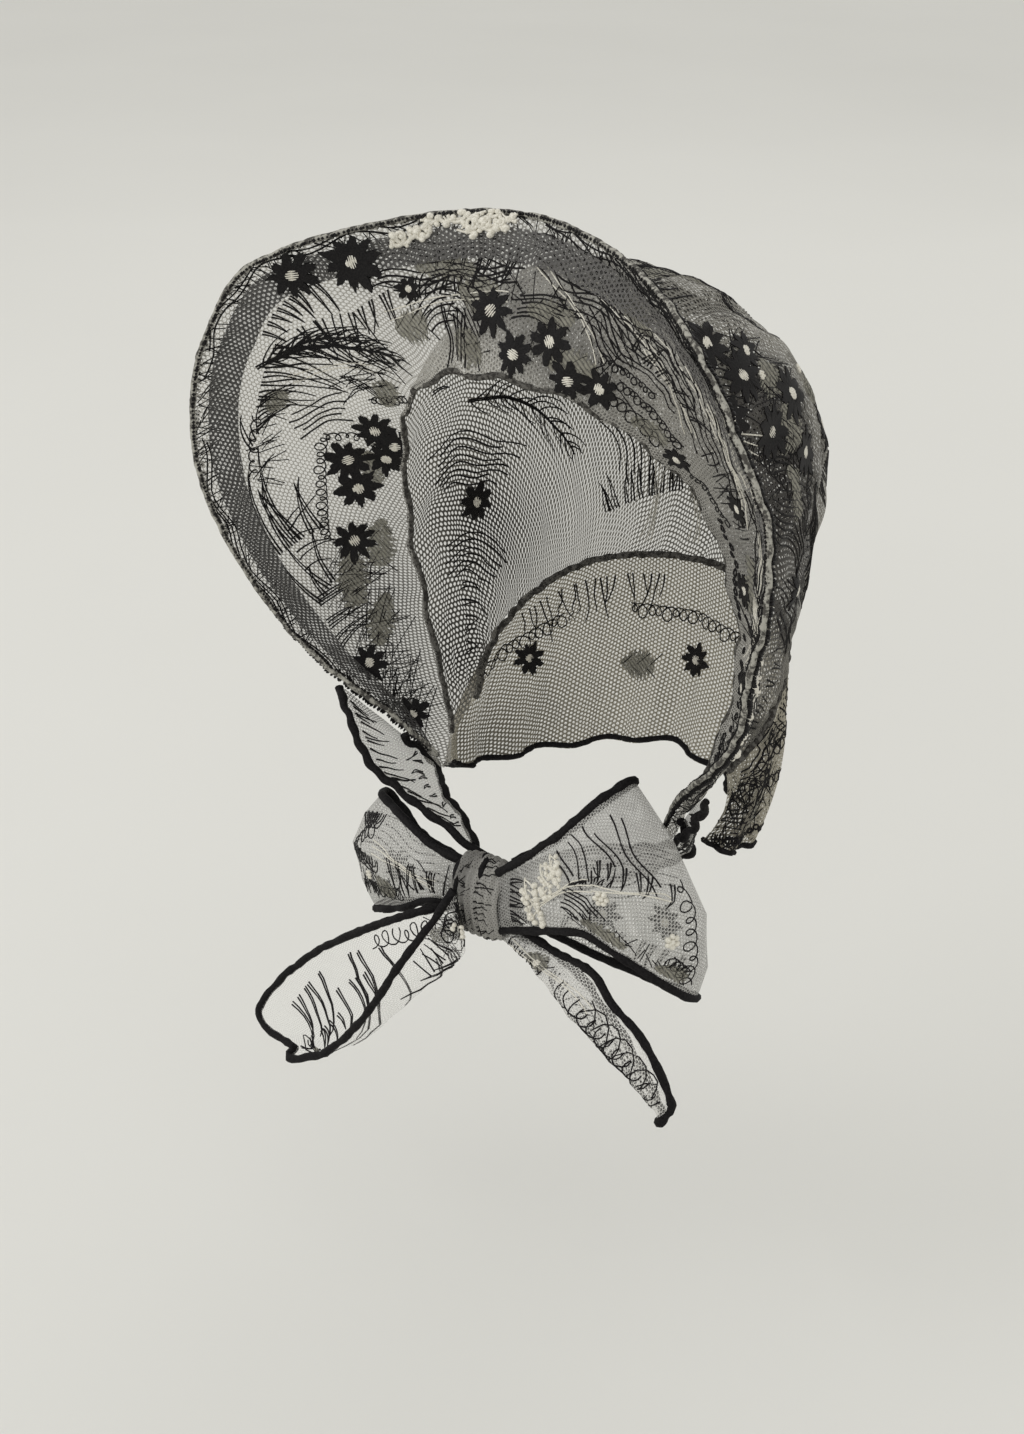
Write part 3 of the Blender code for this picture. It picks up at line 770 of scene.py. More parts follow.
class Palette:
    """The finishes of the bonnet, each made once."""

    def __init__(self) -> None:
        """Makes each finish."""
        self.brim_net = NetFinish("brim net").make()
        self.band_net = NetFinish("doubled dark net", pale=(0.12, 0.115, 0.11), dark=(0.030, 0.029, 0.028),
                                  threads=-0.35, cell=0.0019).make()
        # The crown net is darker and denser than the brim net as painted shade: it stands for the shade
        # inside the crown and the dark hair seen through the net.
        self.crown_net = NetFinish("crown net", pale=(0.50, 0.48, 0.42), dark=(0.022, 0.019, 0.016),
                                   threads=-0.45, cell=0.0020, fine_share=0.25).make()
        self.curtain_net = NetFinish("curtain net", pale=(0.42, 0.39, 0.31), dark=(0.030, 0.026, 0.020),
                                     threads=0.0).make()
        self.ribbon_net = NetFinish("ribbon net", pale=(0.70, 0.69, 0.655), cell=0.0014, threads=-0.75).make()
        self.sheer_net = NetFinish("sheer ribbon net", pale=(0.70, 0.69, 0.655), cell=0.0014, threads=-1.3,
                                   fine_share=0.14, least=0.03).make()
        self.black_thread = ThreadFinish("black thread").make()
        self.rolled_edge = ThreadFinish("black rolled edge", colour=(0.004, 0.0035, 0.004),
                                        other=(0.012, 0.011, 0.0115), roughness=0.8, rib=0.0009).make()
        self.ivory = ThreadFinish("ivory satin thread", colour=(0.79, 0.765, 0.69), other=(0.57, 0.54, 0.46),
                                  roughness=0.45, rib=0.0005, shine=0.4).make()
        self.rim_roll = ThreadFinish("mottled rim roll", colour=(0.38, 0.37, 0.33), other=(0.07, 0.066, 0.06),
                                     roughness=0.8, rib=0.0008, mottled=0.0026).make()
        self.seam = ThreadFinish("gathered seam", colour=(0.11, 0.105, 0.095), other=(0.03, 0.028, 0.025),
                                 roughness=0.8, rib=0.0008, mottled=0.0020).make()
        self.knot_net = NetFinish("pleated knot net", pale=(0.36, 0.35, 0.325), dark=(0.05, 0.048, 0.045),
                                  threads=1.0, cell=0.0012).make()
        self.leaf = LeafFinish("doubled tulle leaf").make()


class NodePlan:
    """A Geometry Nodes tree with named inputs."""

    def __init__(self, name: str) -> None:
        """Starts a tree that takes and gives geometry."""
        self.tree = bpy.data.node_groups.new(name, "GeometryNodeTree")
        self.tree.interface.new_socket("Geometry", in_out="INPUT", socket_type="NodeSocketGeometry")
        self.tree.interface.new_socket("Geometry", in_out="OUTPUT", socket_type="NodeSocketGeometry")
        self.start = self.tree.nodes.new("NodeGroupInput")
        self.end = self.tree.nodes.new("NodeGroupOutput")
        self.names: dict[str, str] = {}

    def value(self, name: str, kind: str) -> bpy.types.NodeSocket:
        """Adds a named input and gives its socket."""
        socket = self.tree.interface.new_socket(name, in_out="INPUT", socket_type="NodeSocket" + kind)
        self.names[name] = socket.identifier
        return next(s for s in self.start.outputs if s.identifier == socket.identifier)

    def add(self, kind: str, inputs: dict[str | int, object], output: str | int = 0,
            **settings: object) -> bpy.types.NodeSocket:
        """Adds a node.

        Args:
            kind: the node's type without its prefix.
            inputs: its inputs, as sockets or plain values.
            output: the output wanted.
            **settings: values of the node itself.

        Returns:
            The output socket.
        """
        node = self.tree.nodes.new(kind if kind.startswith(("Shader", "Function")) else "GeometryNode" + kind)
        for key, value in settings.items():
            setattr(node, key, value)
        for key, value in inputs.items():
            if isinstance(value, bpy.types.NodeSocket):
                self.tree.links.new(value, node.inputs[key])
            else:
                node.inputs[key].default_value = value
        return node.outputs[output]

    def close(self, geometry: bpy.types.NodeSocket, finish: bpy.types.NodeSocket) -> None:
        """Ends the tree with plain smooth geometry in one finish."""
        real = self.add("RealizeInstances", {"Geometry": geometry})
        smooth = self.add("SetShadeSmooth", {"Geometry": real})
        dressed = self.add("SetMaterial", {"Geometry": smooth, "Material": finish})
        self.tree.links.new(dressed, self.end.inputs[0])

    def run(self, obj: bpy.types.Object, **values: object) -> bpy.types.Object:
        """Runs the tree on an object and keeps the result as its plain mesh.

        Args:
            obj: the object that holds the guide.
            **values: the named inputs, with _ for a space.

        Returns:
            The same object.
        """
        modifier = obj.modifiers.new("plan", "NODES")
        modifier.node_group = self.tree
        for key, value in values.items():
            modifier[self.names[key.replace("_", " ")]] = value
        settle(obj, modifier)
        return obj


def thread_plan() -> NodePlan:
    """Threads and rolls along the edges of a guide, each point with its own girth and its own lumps."""
    plan = NodePlan("Thread")
    sides = plan.value("Sides", "Int")
    lumps = plan.value("Lumps", "Float")
    lump_size = plan.value("Lump size", "Float")
    finish = plan.value("Finish", "Material")
    curve = plan.add("MeshToCurve", {"Mesh": plan.start.outputs[0]})
    girth = plan.add("InputNamedAttribute", {"Name": "girth"}, data_type="FLOAT")
    place = plan.add("InputPosition", {})
    scale = plan.add("ShaderNodeMath", {0: 1.0, 1: lump_size}, operation="DIVIDE")
    noise = plan.add("ShaderNodeTexNoise", {"Vector": place, "Scale": scale, "Detail": 1.0})
    swing = plan.add("ShaderNodeMath", {0: noise, 1: 0.5}, operation="SUBTRACT")
    more = plan.add("ShaderNodeMath", {0: swing, 1: lumps, 2: 1.0}, operation="MULTIPLY_ADD")
    radius = plan.add("ShaderNodeMath", {0: girth, 1: more}, operation="MULTIPLY")
    curve = plan.add("SetCurveRadius", {"Curve": curve, "Radius": radius})
    ring = plan.add("CurvePrimitiveCircle", {"Resolution": sides, "Radius": 1.0})
    inputs: dict[str | int, object] = {"Curve": curve, "Profile Curve": ring, "Fill Caps": True}
    tube = plan.add("CurveToMesh", inputs)
    if "Scale" in tube.node.inputs:
        plan.tree.links.new(radius, tube.node.inputs["Scale"])
    plan.close(tube, finish)
    return plan


def bead_plan() -> NodePlan:
    """Small satin buds on the points of a guide, each with its own size and turn."""
    plan = NodePlan("Buds")
    seed = plan.value("Seed", "Int")
    flat = plan.value("Flatness", "Float")
    finish = plan.value("Finish", "Material")
    size = plan.add("InputNamedAttribute", {"Name": "girth"}, data_type="FLOAT")
    turn = plan.add("FunctionNodeRandomValue", {"Seed": seed}, "Value", data_type="FLOAT_VECTOR")
    limits = turn.node.inputs
    limits[0].default_value = (-3.1, -0.4, -3.1)
    limits[1].default_value = (3.1, 0.4, 3.1)
    bud = plan.add("MeshIcoSphere", {"Radius": 1.0, "Subdivisions": 2})
    shape = plan.add("ShaderNodeCombineXYZ", {"X": 1.0, "Y": 0.8, "Z": flat})
    bud = plan.add("Transform", {"Geometry": bud, "Scale": shape})
    points = plan.add("MeshToPoints", {"Mesh": plan.start.outputs[0]})
    many = plan.add("InstanceOnPoints", {"Points": points, "Instance": bud, "Rotation": turn, "Scale": size})
    plan.close(many, finish)
    return plan


@dataclass
class Cloth:
    """One cloth of net as a fine open mesh, with its place along and across kept in metres for the net."""

    name: str
    surface: Surface
    ends: Pair
    steps: tuple[int, int]
    finish: bpy.types.Material
    replaces: Sequence[str]
    slot: str
    held: str
    rests_on: Sequence[str]
    shades: Sequence[Shade] = ()
    tone: float = 0.1
    cover: float = 0.0
    piece: bpy.types.Object | None = None
    flat: Pair = (0.1, 0.1)
    area: float = 0.01

    def build(self) -> bpy.types.Object:
        """Builds the cloth, dresses it and hides the parts it replaces.

        Returns:
            The finished piece.
        """
        rows, columns = self.steps[0] + 1, self.steps[1] + 1
        at = np.repeat(np.linspace(*self.ends, rows), columns)
        across = np.tile(np.linspace(0, 1, columns), rows)
        grid = self.surface.place(at, across).reshape(rows, columns, 3)
        self.measure(grid)
        faces = grid_faces(rows, columns)
        mesh = mesh_of(self.name, grid.reshape(-1, 3), faces=faces)
        mesh.polygons.foreach_set("use_smooth", [True] * len(faces))
        self.chart(mesh, grid)
        self.shade(mesh, at, across)
        mesh.materials.append(self.finish)
        self.piece = add_piece(self.name, mesh)
        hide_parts(*self.replaces)
        return self.piece

    def measure(self, grid: Array) -> None:
        """Works out the flat size that the cloth was cut to, and the area that it has as worn."""
        along = np.linalg.norm(np.diff(grid, axis=0), axis=2).sum(axis=0)
        across = np.linalg.norm(np.diff(grid, axis=1), axis=2).sum(axis=1)
        first = np.cross(grid[1:, :-1] - grid[:-1, :-1], grid[:-1, 1:] - grid[:-1, :-1])
        second = np.cross(grid[:-1, 1:] - grid[1:, 1:], grid[1:, :-1] - grid[1:, 1:])
        area = (np.linalg.norm(first, axis=2).sum() + np.linalg.norm(second, axis=2).sum()) / 2
        self.flat = (round(float(across.max()), 3), round(float(along.max()), 3))
        self.area = round(min(float(area), self.flat[0] * self.flat[1]), 4)
        LOG.info("%s: cut %.3f by %.3f m, area %.4f m2", self.name, *self.flat, self.area)

    def chart(self, mesh: bpy.types.Mesh, grid: Array) -> None:
        """Keeps each point's place along and across the cloth, in metres, for the net to follow."""
        along = np.linalg.norm(np.diff(grid, axis=0), axis=2).mean(axis=1)
        across = np.linalg.norm(np.diff(grid, axis=1), axis=2)
        u = np.repeat(np.concatenate([[0], np.cumsum(along)])[:, None], grid.shape[1], axis=1)
        v = np.concatenate([np.zeros((grid.shape[0], 1)), np.cumsum(across, axis=1)], axis=1)
        places = np.stack([u.ravel(), v.ravel()], 1)
        corners = np.empty(len(mesh.loops), np.int32)
        mesh.loops.foreach_get("vertex_index", corners)
        mesh.uv_layers.new(name="net").data.foreach_set("uv", places[corners].astype(np.float32).ravel())

    def shade(self, mesh: bpy.types.Mesh, at: Array, across: Array) -> None:
        """Marks where the cloth is darker or denser, from its soft spots."""
        tone, cover = np.full(len(at), self.tone), np.full(len(at), self.cover)
        for spot in self.shades:
            off = ((at - spot.at) / spot.reach_at) ** 2 + ((across - spot.across) / spot.reach_across) ** 2
            tone += spot.tone * np.exp(-off)
            cover += spot.cover * np.exp(-off)
        for name, values in (("tone", tone), ("cover", cover)):
            layer = mesh.attributes.new(name, "FLOAT", "POINT")
            layer.data.foreach_set("value", np.clip(values, 0, 1).astype(np.float32))


def add_piece(name: str, mesh: bpy.types.Mesh) -> bpy.types.Object:
    """Adds an object at the origin that rides on the bonnet."""
    piece = bpy.data.objects.new(name, mesh)
    bpy.context.scene.collection.objects.link(piece)
    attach(piece, "root")
    return piece


class Kind(Enum):
    """The motifs that the needle knows."""

    SPIKES = "pointed strokes of two threads that meet"
    HAIRS = "single curved strokes"
    WAVES = "long strokes side by side that follow a line"
    CURLS = "a chain of small loops"
    ARCHES = "overlapping scallops"
    FEATHER = "a stem with barbs on both sides"
    DAISY = "a ragged flower with a satin middle"
    LEAF = "a patch of doubled net with a ragged edge"
    SPRAY = "ivory stems with buds"
    ROSETTE = "a small ivory flower"
    # A painted highlight: pale thread laid along the ridge of a fold, where the net doubles.
    CREASE = "a pale line where the net doubles"
    EYELETS = "a row of small rings"
    HATCH = "fine short strokes that cross"
    CORD = "a thick ivory cord in curls"


@dataclass(frozen=True)
class Motif:
    """One motif: its line's two ends in shares, its reach in metres, count, lean and height off the net."""

    kind: Kind
    at: float
    across: float
    end_at: float
    end_across: float
    reach: float = 0.01
    count: int = 6
    lean: float = 1.2
    lift: float = 0.0


@dataclass
class Needlework:
    """The embroidery of one cloth, worked motif by motif and then sewn into a few pieces."""

    cloth: Cloth
    palette: Palette
    threads: NodePlan
    buds: NodePlan
    seed: int
    ends: Pair = (-0.94, 0.94)
    edges: Pair = (0.012, 0.988)
    thread: float = 0.00042
    black: list[tuple[Array, Array]] = field(default_factory=list)
    ivory: list[tuple[Array, Array]] = field(default_factory=list)
    flowers: list[tuple[Array, Faces]] = field(default_factory=list)
    leaves: list[tuple[Array, Faces]] = field(default_factory=list)
    spots: list[tuple[Array, float]] = field(default_factory=list)

    def __post_init__(self) -> None:
        """Starts the needle's own seeded sway."""
        self.sway = np.random.default_rng(self.seed)

    def between(self, low: float, high: float, count: int | None = None) -> float | Array:
        """Seeded values between two limits."""
        return self.sway.uniform(low, high, count)

    def work(self, motifs: Sequence[Motif]) -> None:
        """Works every motif of a table in order."""
        for motif in motifs:
            getattr(self, motif.kind.name.lower())(motif)

    def stroke(self, motif: Motif, spots: Array, girth: float | Array = 1.0, ivory: bool = False,
               lift: float = 0.0) -> None:
        """Lays one thread and cuts it at the cloth's edges.

        Args:
            motif: whose line the thread is drawn on.
            spots: points in metres along that line and to its left.
            girth: the thread's width, as a share of the usual one.
            ivory: whether it is ivory, not black.
            lift: how far off the cloth it lies.
        """
        shares = self.shares_of(motif, spots)
        wide = np.broadcast_to(np.asarray(girth, float) * self.thread, len(spots))
        inside = ((shares[:, 0] > self.ends[0]) & (shares[:, 0] < self.ends[1])
                  & (shares[:, 1] > self.edges[0]) & (shares[:, 1] < self.edges[1]))
        points = self.cloth.surface.place(shares[:, 0], shares[:, 1], motif.lift + lift)
        store = self.ivory if ivory else self.black
        run: list[int] = []
        for k in range(len(spots) + 1):
            if k < len(spots) and inside[k]:
                run.append(k)
                continue
            if len(run) > 2:
                store.append((points[run], wide[run]))
            run = []

    def shares_of(self, motif: Motif, spots: Array) -> Array:
        """Turns points in metres along a motif's line and to its left into shares of the cloth."""
        length = max(self.length_of(motif), SHORTEST_LINE)
        start, end = (motif.at, motif.across), (motif.end_at, motif.end_across)
        return self.cloth.surface.lay(start, end, spots / (length, 1))

    def length_of(self, motif: Motif) -> float:
        """The length on the cloth of a motif's line."""
        return self.cloth.surface.spread_of((motif.at, motif.across), (motif.end_at, motif.end_across))

    def spikes(self, motif: Motif) -> None:
        """Pointed strokes: two threads from a narrow foot that meet at a tip."""
        length = self.length_of(motif)
        share = np.linspace(0, 1, 9)
        for k in range(motif.count):
            foot = length * (k + 0.5 + self.between(-0.35, 0.35)) / motif.count
            reach = motif.reach * self.between(0.55, 1.15)
            way = motif.lean + self.between(-0.18, 0.18) + 0.35 * share * self.between(0.2, 1.4)
            line = grown(foot, way, reach)
            half = np.stack([np.sin(way), -np.cos(way)], 1) * (0.00075 * (1 - share) ** 0.7)[:, None]
            self.stroke(motif, line + half, 1.05 - 0.5 * share)
            self.stroke(motif, line - half, 1.05 - 0.5 * share)

    def hairs(self, motif: Motif) -> None:
        """Single strokes that bend as they rise."""
        length = self.length_of(motif)
        share = np.linspace(0, 1, 9)
        for k in range(motif.count):
            foot = length * (k + 0.5 + self.between(-0.4, 0.4)) / motif.count
            reach = motif.reach * self.between(0.5, 1.2)
            way = motif.lean + self.between(-0.25, 0.25) + share * self.between(-0.2, 0.9)
            self.stroke(motif, grown(foot, way, reach), 1.1 - 0.5 * share)

    def waves(self, motif: Motif) -> None:
        """Long strokes side by side, each with its own start, end and slow bend."""
        length = self.length_of(motif)
        for k in range(motif.count):
            start, end = self.between(0, 0.22), self.between(0.75, 1.0)
            share = np.linspace(start, end, max(10, int(length / 0.004)))
            off = motif.reach * ((k + 0.5) / motif.count - 0.5) + self.between(-0.0005, 0.0005)
            bend = 0.0018 * np.sin(2 * math.pi * (share * length / 0.035 + motif.lean) + 0.25 * k)
            self.stroke(motif, np.stack([share * length, off + bend], 1), self.between(0.8, 1.1))

    def curls(self, motif: Motif) -> None:
        """A chain of loops."""
        length = self.length_of(motif)
        turns = np.linspace(0, 2 * math.pi * motif.count, 12 * motif.count)
        size = motif.reach * (1 + 0.25 * np.sin(turns * 0.37 + self.between(0, 6)))
        x = length * turns / turns[-1] + size * np.sin(turns)
        self.stroke(motif, np.stack([x, size * (1 - np.cos(turns)) - motif.reach], 1), 0.8)

    def cord(self, motif: Motif) -> None:
        """A thick ivory cord laid in uneven curls."""
        length = self.length_of(motif)
        turns = np.linspace(0, 2 * math.pi * motif.count, 10 * motif.count)
        size = motif.reach * (1 + 0.5 * np.sin(turns * 0.41 + self.between(0, 6)))
        x = length * turns / turns[-1] + size * np.sin(turns)
        self.stroke(motif, np.stack([x, size * np.cos(turns)], 1), 2.3, ivory=True)

    def arches(self, motif: Motif) -> None:
        """Scallops that overlap by half."""
        length = self.length_of(motif)
        half = length / (motif.count + 1)
        turn = np.linspace(-0.25, math.pi + 0.25, 13)
        for k in range(motif.count):
            for inner in (1.0, 0.62):
                x = half * (k + 1) - half * 1.05 * inner * np.cos(turn)
                y = motif.reach * inner * np.sin(turn) * self.between(0.9, 1.1)
                self.stroke(motif, np.stack([x, y], 1), 0.9)

    def hatch(self, motif: Motif) -> None:
        """Fine short strokes that cross each other."""
        length = self.length_of(motif)
        for _ in range(motif.count):
            way = motif.lean + self.between(-0.9, 0.9)
            middle = np.array([self.between(0, length), self.between(-0.4, 0.4) * motif.reach])
            half = np.array([math.cos(way), math.sin(way)]) * motif.reach * self.between(0.3, 0.7)
            share = np.linspace(-1, 1, 4)[:, None]
            self.stroke(motif, middle + share * half, 0.55)

    def feather(self, motif: Motif) -> None:
        """A stem of two threads with long barbs that lean forward on both sides."""
        length = self.length_of(motif)
        share = np.linspace(0, 1, 16)
        for side in (-1, 1):
            self.stroke(motif, np.stack([share * length, side * 0.0006 * (1 - share)], 1), 1.1)
        for k in range(motif.count):
            for side in (-1, 1):
                foot = length * (k + self.between(0.1, 0.9)) / motif.count
                full = math.sin(math.pi * min(0.95, 0.25 + 0.72 * foot / length)) ** 0.6
                reach = motif.reach * full * self.between(0.6, 1.15)
                share = np.linspace(0, 1, 8)
                way = side * (motif.lean + self.between(-0.2, 0.15) - 0.75 * share)
                self.stroke(motif, grown(foot, way, reach), 1.1 - 0.6 * share)

    def spot(self, motif: Motif) -> Motif:
        """The same motif with a very short line, for what grows round one point."""
        return replace(motif, end_at=motif.at + 0.004, end_across=motif.across)

    def daisy(self, motif: Motif) -> None:
        """A ragged flower: petals that part near the middle, then a satin oval across it."""
        here = self.spot(motif)
        petals = motif.count
        turn = np.linspace(0, 2 * math.pi, petals * 10, endpoint=False) + self.between(0, 6)
        phase = petals * turn / (2 * math.pi)
        shape = 1 - 2 * np.abs(phase - np.round(phase))
        petal_long = self.between(0.85, 1.2, petals)[np.round(phase).astype(int) % petals]
        radius = motif.reach * (0.50 + 0.56 * shape**0.6 * petal_long + self.between(-0.11, 0.11, len(turn)))
        edge = np.stack([radius * np.cos(turn), radius * np.sin(turn)], 1)
        points = self.laid(here, np.concatenate([edge * share for share in (0.0, 0.35, 0.7, 1.0)]))
        count = len(turn)
        faces = []
        for ring in range(3):
            low, high = ring * count, (ring + 1) * count
            for k in range(count):
                after = (k + 1) % count
                faces.append((low + k, high + k, high + after, low + after))
        self.flowers.append((points, faces))
        way = self.between(0, 3.1)
        ahead, left = np.array([math.cos(way), math.sin(way)]), np.array([-math.sin(way), math.cos(way)])
        oval = min(0.0027, motif.reach * 0.30)
        for k in range(5):
            off = (k - 2) / 2.4
            half = oval * math.sqrt(1 - off * off)
            share = np.linspace(-1, 1, 5)
            line = share[:, None] * half * ahead + left * off * oval * 0.8
            self.stroke(here, line, 2.0 - 0.5 * np.abs(share), ivory=True)

    def laid(self, motif: Motif, spots: Array) -> Array:
        """Lays a drawing in metres on the cloth and holds it inside the cloth's edges."""
        shares = self.shares_of(motif, spots)
        at = np.clip(shares[:, 0], *self.ends)
        across = np.clip(shares[:, 1], *self.edges)
        return self.cloth.surface.place(at, across, motif.lift)

    def leaf(self, motif: Motif) -> None:
        """A patch with a ragged edge, wide in its middle, and a hatched vein."""
        length = self.length_of(motif)
        rows, columns = 26, 5
        share = np.linspace(0, 1, rows)
        spots = []
        for k, s in enumerate(share):
            half = motif.reach * math.sin(math.pi * (0.08 + 0.86 * s)) ** 0.7
            ragged = (0.55 if k % 3 == 0 else 1.0) * self.between(0.75, 1.2)
            for j in range(columns):
                over = (j / (columns - 1) * 2 - 1) * half * ragged
                spots.append((s * length + 0.35 * abs(over), over))
        points = self.laid(motif, np.array(spots))
        self.leaves.append((points, grid_faces(rows, columns)))
        for k in range(motif.count):
            foot = length * (k + 0.4) / motif.count
            side = 1 if k % 2 else -1
            line = np.array([[foot + d * 1.2, side * d] for d in np.linspace(0, motif.reach * 0.8, 4)])
            self.stroke(motif, line, 0.7)

    def spray(self, motif: Motif) -> None:
        """Ivory stems that fork, with buds at their ends."""
        length = self.length_of(motif)
        share = np.linspace(0, 1, 12)
        self.stroke(motif, np.stack([share * length, 0.0015 * np.sin(share * 5)], 1), 1.2, ivory=True)
        for k in range(motif.count):
            foot = length * (k + 0.5) / motif.count
            side = 1 if k % 2 else -1
            reach = motif.reach * self.between(0.5, 1.1)
            way = side * (0.9 + self.between(-0.3, 0.3) - 0.4 * np.linspace(0, 1, 6))
            line = grown(foot, way, reach)
            self.stroke(motif, line, 1.1, ivory=True)
            for point in (line[-1], line[3] + (0, side * 0.0016), line[-1] + (0.002, -side * 0.001)):
                self.spots.append((self.laid(motif, point[None])[0], self.between(0.0010, 0.0019)))

    def rosette(self, motif: Motif) -> None:
        """Six ivory petals round a middle."""
        here = self.spot(motif)
        for k in range(6):
            turn = math.pi / 3 * k
            spot = np.array([[math.cos(turn), math.sin(turn)]]) * motif.reach * 0.62
            self.spots.append((self.laid(here, spot)[0], motif.reach * 0.42))
        self.spots.append((self.laid(here, np.zeros((1, 2)))[0], motif.reach * 0.45))

    def crease(self, motif: Motif) -> None:
        """A pale line along a fold, painted on as the fold's highlight."""
        length = self.length_of(motif)
        share = np.linspace(0, 1, 18)
        for k in range(motif.count):
            off = motif.reach * (k - (motif.count - 1) / 2)
            bend = off + 0.0012 * np.sin(share * 5 + k)
            self.stroke(motif, np.stack([share * length, bend], 1), 0.75, ivory=True)

    def eyelets(self, motif: Motif) -> None:
        """A row of small rings."""
        length = self.length_of(motif)
        turn = np.linspace(0, 2 * math.pi, 11)
        for k in range(motif.count):
            middle = np.array([length * (k + 0.5) / motif.count, self.between(-0.001, 0.001)])
            ring = np.stack([np.cos(turn), np.sin(turn)], 1) * motif.reach * self.between(0.8, 1.2)
            self.stroke(motif, middle + ring, 1.3)

    def sew(self, names: str) -> list[bpy.types.Object]:
        """Sews all that was worked into as few pieces as its finishes need.

        Args:
            names: the start of each piece's name.

        Returns:
            The pieces.
        """
        made = []
        for lines, name, finish in ((self.black, "_threads", self.palette.black_thread),
                                    (self.ivory, "_satin", self.palette.ivory)):
            if lines:
                piece = guide(names + name, lines)
                self.threads.run(piece, Sides=4, Lumps=0.5, Lump_size=0.002, Finish=finish)
                made.append(piece)
        for shapes, name, finish, thick in ((self.flowers, "_flowers", self.palette.black_thread, 0.0009),
                                            (self.leaves, "_leaves", self.palette.leaf, 0.0004)):
            if shapes:
                made.append(patches(names + name, shapes, finish, thick))
        if self.spots:
            places, sizes = zip(*self.spots)
            piece = guide(names + "_buds", [(np.array(places), np.array(sizes))], joined=False)
            self.buds.run(piece, Seed=self.seed, Flatness=0.75, Finish=self.palette.ivory)
            made.append(piece)
        for piece in made:
            LOG.info("%s: %d faces", piece.name, len(piece.data.polygons))
        return made


def guide(name: str, lines: Sequence[tuple[Array, Array]], joined: bool = True) -> bpy.types.Object:
    """Makes a guide of open lines, or of loose points, for a node plan.

    Args:
        name: the guide's name.
        lines: each line's points and the girth at each of them.
        joined: whether the points of a line are joined.

    Returns:
        The guide.
    """
    points = np.concatenate([line for line, _ in lines])
    girth = np.concatenate([wide for _, wide in lines])
    edges, first = [], 0
    for line, _ in lines:
        edges += [(first + k, first + k + 1) for k in range(len(line) - 1)]
        first += len(line)
    mesh = mesh_of(name, points, edges if joined else ())
    mesh.attributes.new("girth", "FLOAT", "POINT").data.foreach_set("value", girth.astype(np.float32))
    return add_piece(name, mesh)


def patches(name: str, shapes: Sequence[tuple[Array, Faces]], finish: bpy.types.Material,
            thickness: float) -> bpy.types.Object:
    """Joins flat patches into one piece and gives them their thickness."""
    points, faces, first = [], [], 0
    for spots, shape in shapes:
        points += list(spots)
        faces += [tuple(first + k for k in face) for face in shape]
        first += len(spots)
    mesh = mesh_of(name, points, faces=faces)
    mesh.materials.append(finish)
    piece = add_piece(name, mesh)
    solid = piece.modifiers.new("thickness", "SOLIDIFY")
    solid.thickness = thickness
    solid.offset = 0
    settle(piece, solid)
    return piece


@dataclass
class Roll:
    """A rolled edge along a line, lumpy as hand-rolled net is."""

    name: str
    line: Array
    radius: float
    finish: bpy.types.Material
    threads: NodePlan
    slot: str = "binding"
    replaces: Sequence[str] = ()
    lumps: float = 0.7
    lump_size: float = 0.006
    sides: int = 8

    def build(self) -> bpy.types.Object:
        """Builds the roll as one closed tube.

        Returns:
            The finished piece.
        """
        piece = guide(self.name, [(self.line, np.full(len(self.line), self.radius))])
        self.threads.run(piece, Sides=self.sides, Lumps=self.lumps, Lump_size=self.lump_size,
                         Finish=self.finish)
        if self.replaces:
            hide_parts(*self.replaces)
        return piece


def beside(edge: Array, inside: Array, gap: float) -> Array:
    """The line that runs beside one edge of a cloth, clear of it by a gap."""
    along = unit(np.gradient(edge, axis=0))
    away = edge - inside
    away = unit(away - along * np.sum(away * along, axis=1, keepdims=True))
    return edge + away * gap


def rows_of(surface: Surface, ends: Pair, across: float, count: int) -> Array:
    """A line of points along a cloth at one share across it."""
    at = np.linspace(*ends, count)
    return surface.place(at, np.full(count, across))


K = Kind
BRIM_FOLDS = (
    Fold(-0.12, 1.0, -0.085, 0.62, 0.006, 0.004), Fold(-0.05, 1.0, -0.085, 0.62, 0.006, 0.004),
    Fold(0.05, 0.40, 0.15, 0.75, 0.003, 0.0016), Fold(0.22, 0.45, 0.33, 0.70, 0.003, 0.0016),
    Fold(0.12, 0.15, 0.30, 0.35, 0.005, 0.0018), Fold(0.42, 0.30, 0.55, 0.80, 0.004, 0.0018),
    Fold(0.62, 0.20, 0.80, 0.70, 0.004, 0.0018), Fold(-0.30, 0.90, -0.42, 0.62, 0.005, 0.0015),
    Fold(-0.60, 0.90, -0.66, 0.50, 0.005, 0.0015),
)
BRIM_SHADES = (
    Shade(-0.85, 0.5, 0.16, 0.9, 0.45, 0.25), Shade(-0.06, 0.60, 0.14, 0.30, 0.35, 0.18),
    Shade(0.12, 0.80, 0.14, 0.30, 0.42, 0.22), Shade(0.30, 0.45, 0.22, 0.70, 0.26, 0.10),
    Shade(0.08, 0.20, 0.12, 0.25, 0.30, 0.14), Shade(-0.10, 0.38, 0.12, 0.14, 0.22, 0.12),
    Shade(-0.68, 0.75, 0.10, 0.35, 0.35, 0.20), Shade(0.75, 0.8, 0.20, 0.3, 0.30, 0.20),
    Shade(0.66, 0.34, 0.20, 0.34, -0.30, 0.10),
    Shade(-0.24, 0.85, 0.09, 0.2, 0.20, 0.12), Shade(-0.50, 0.95, 0.12, 0.2, 0.25, 0.15),
    Shade(0.48, 0.7, 0.12, 0.5, 0.30, 0.15),
)
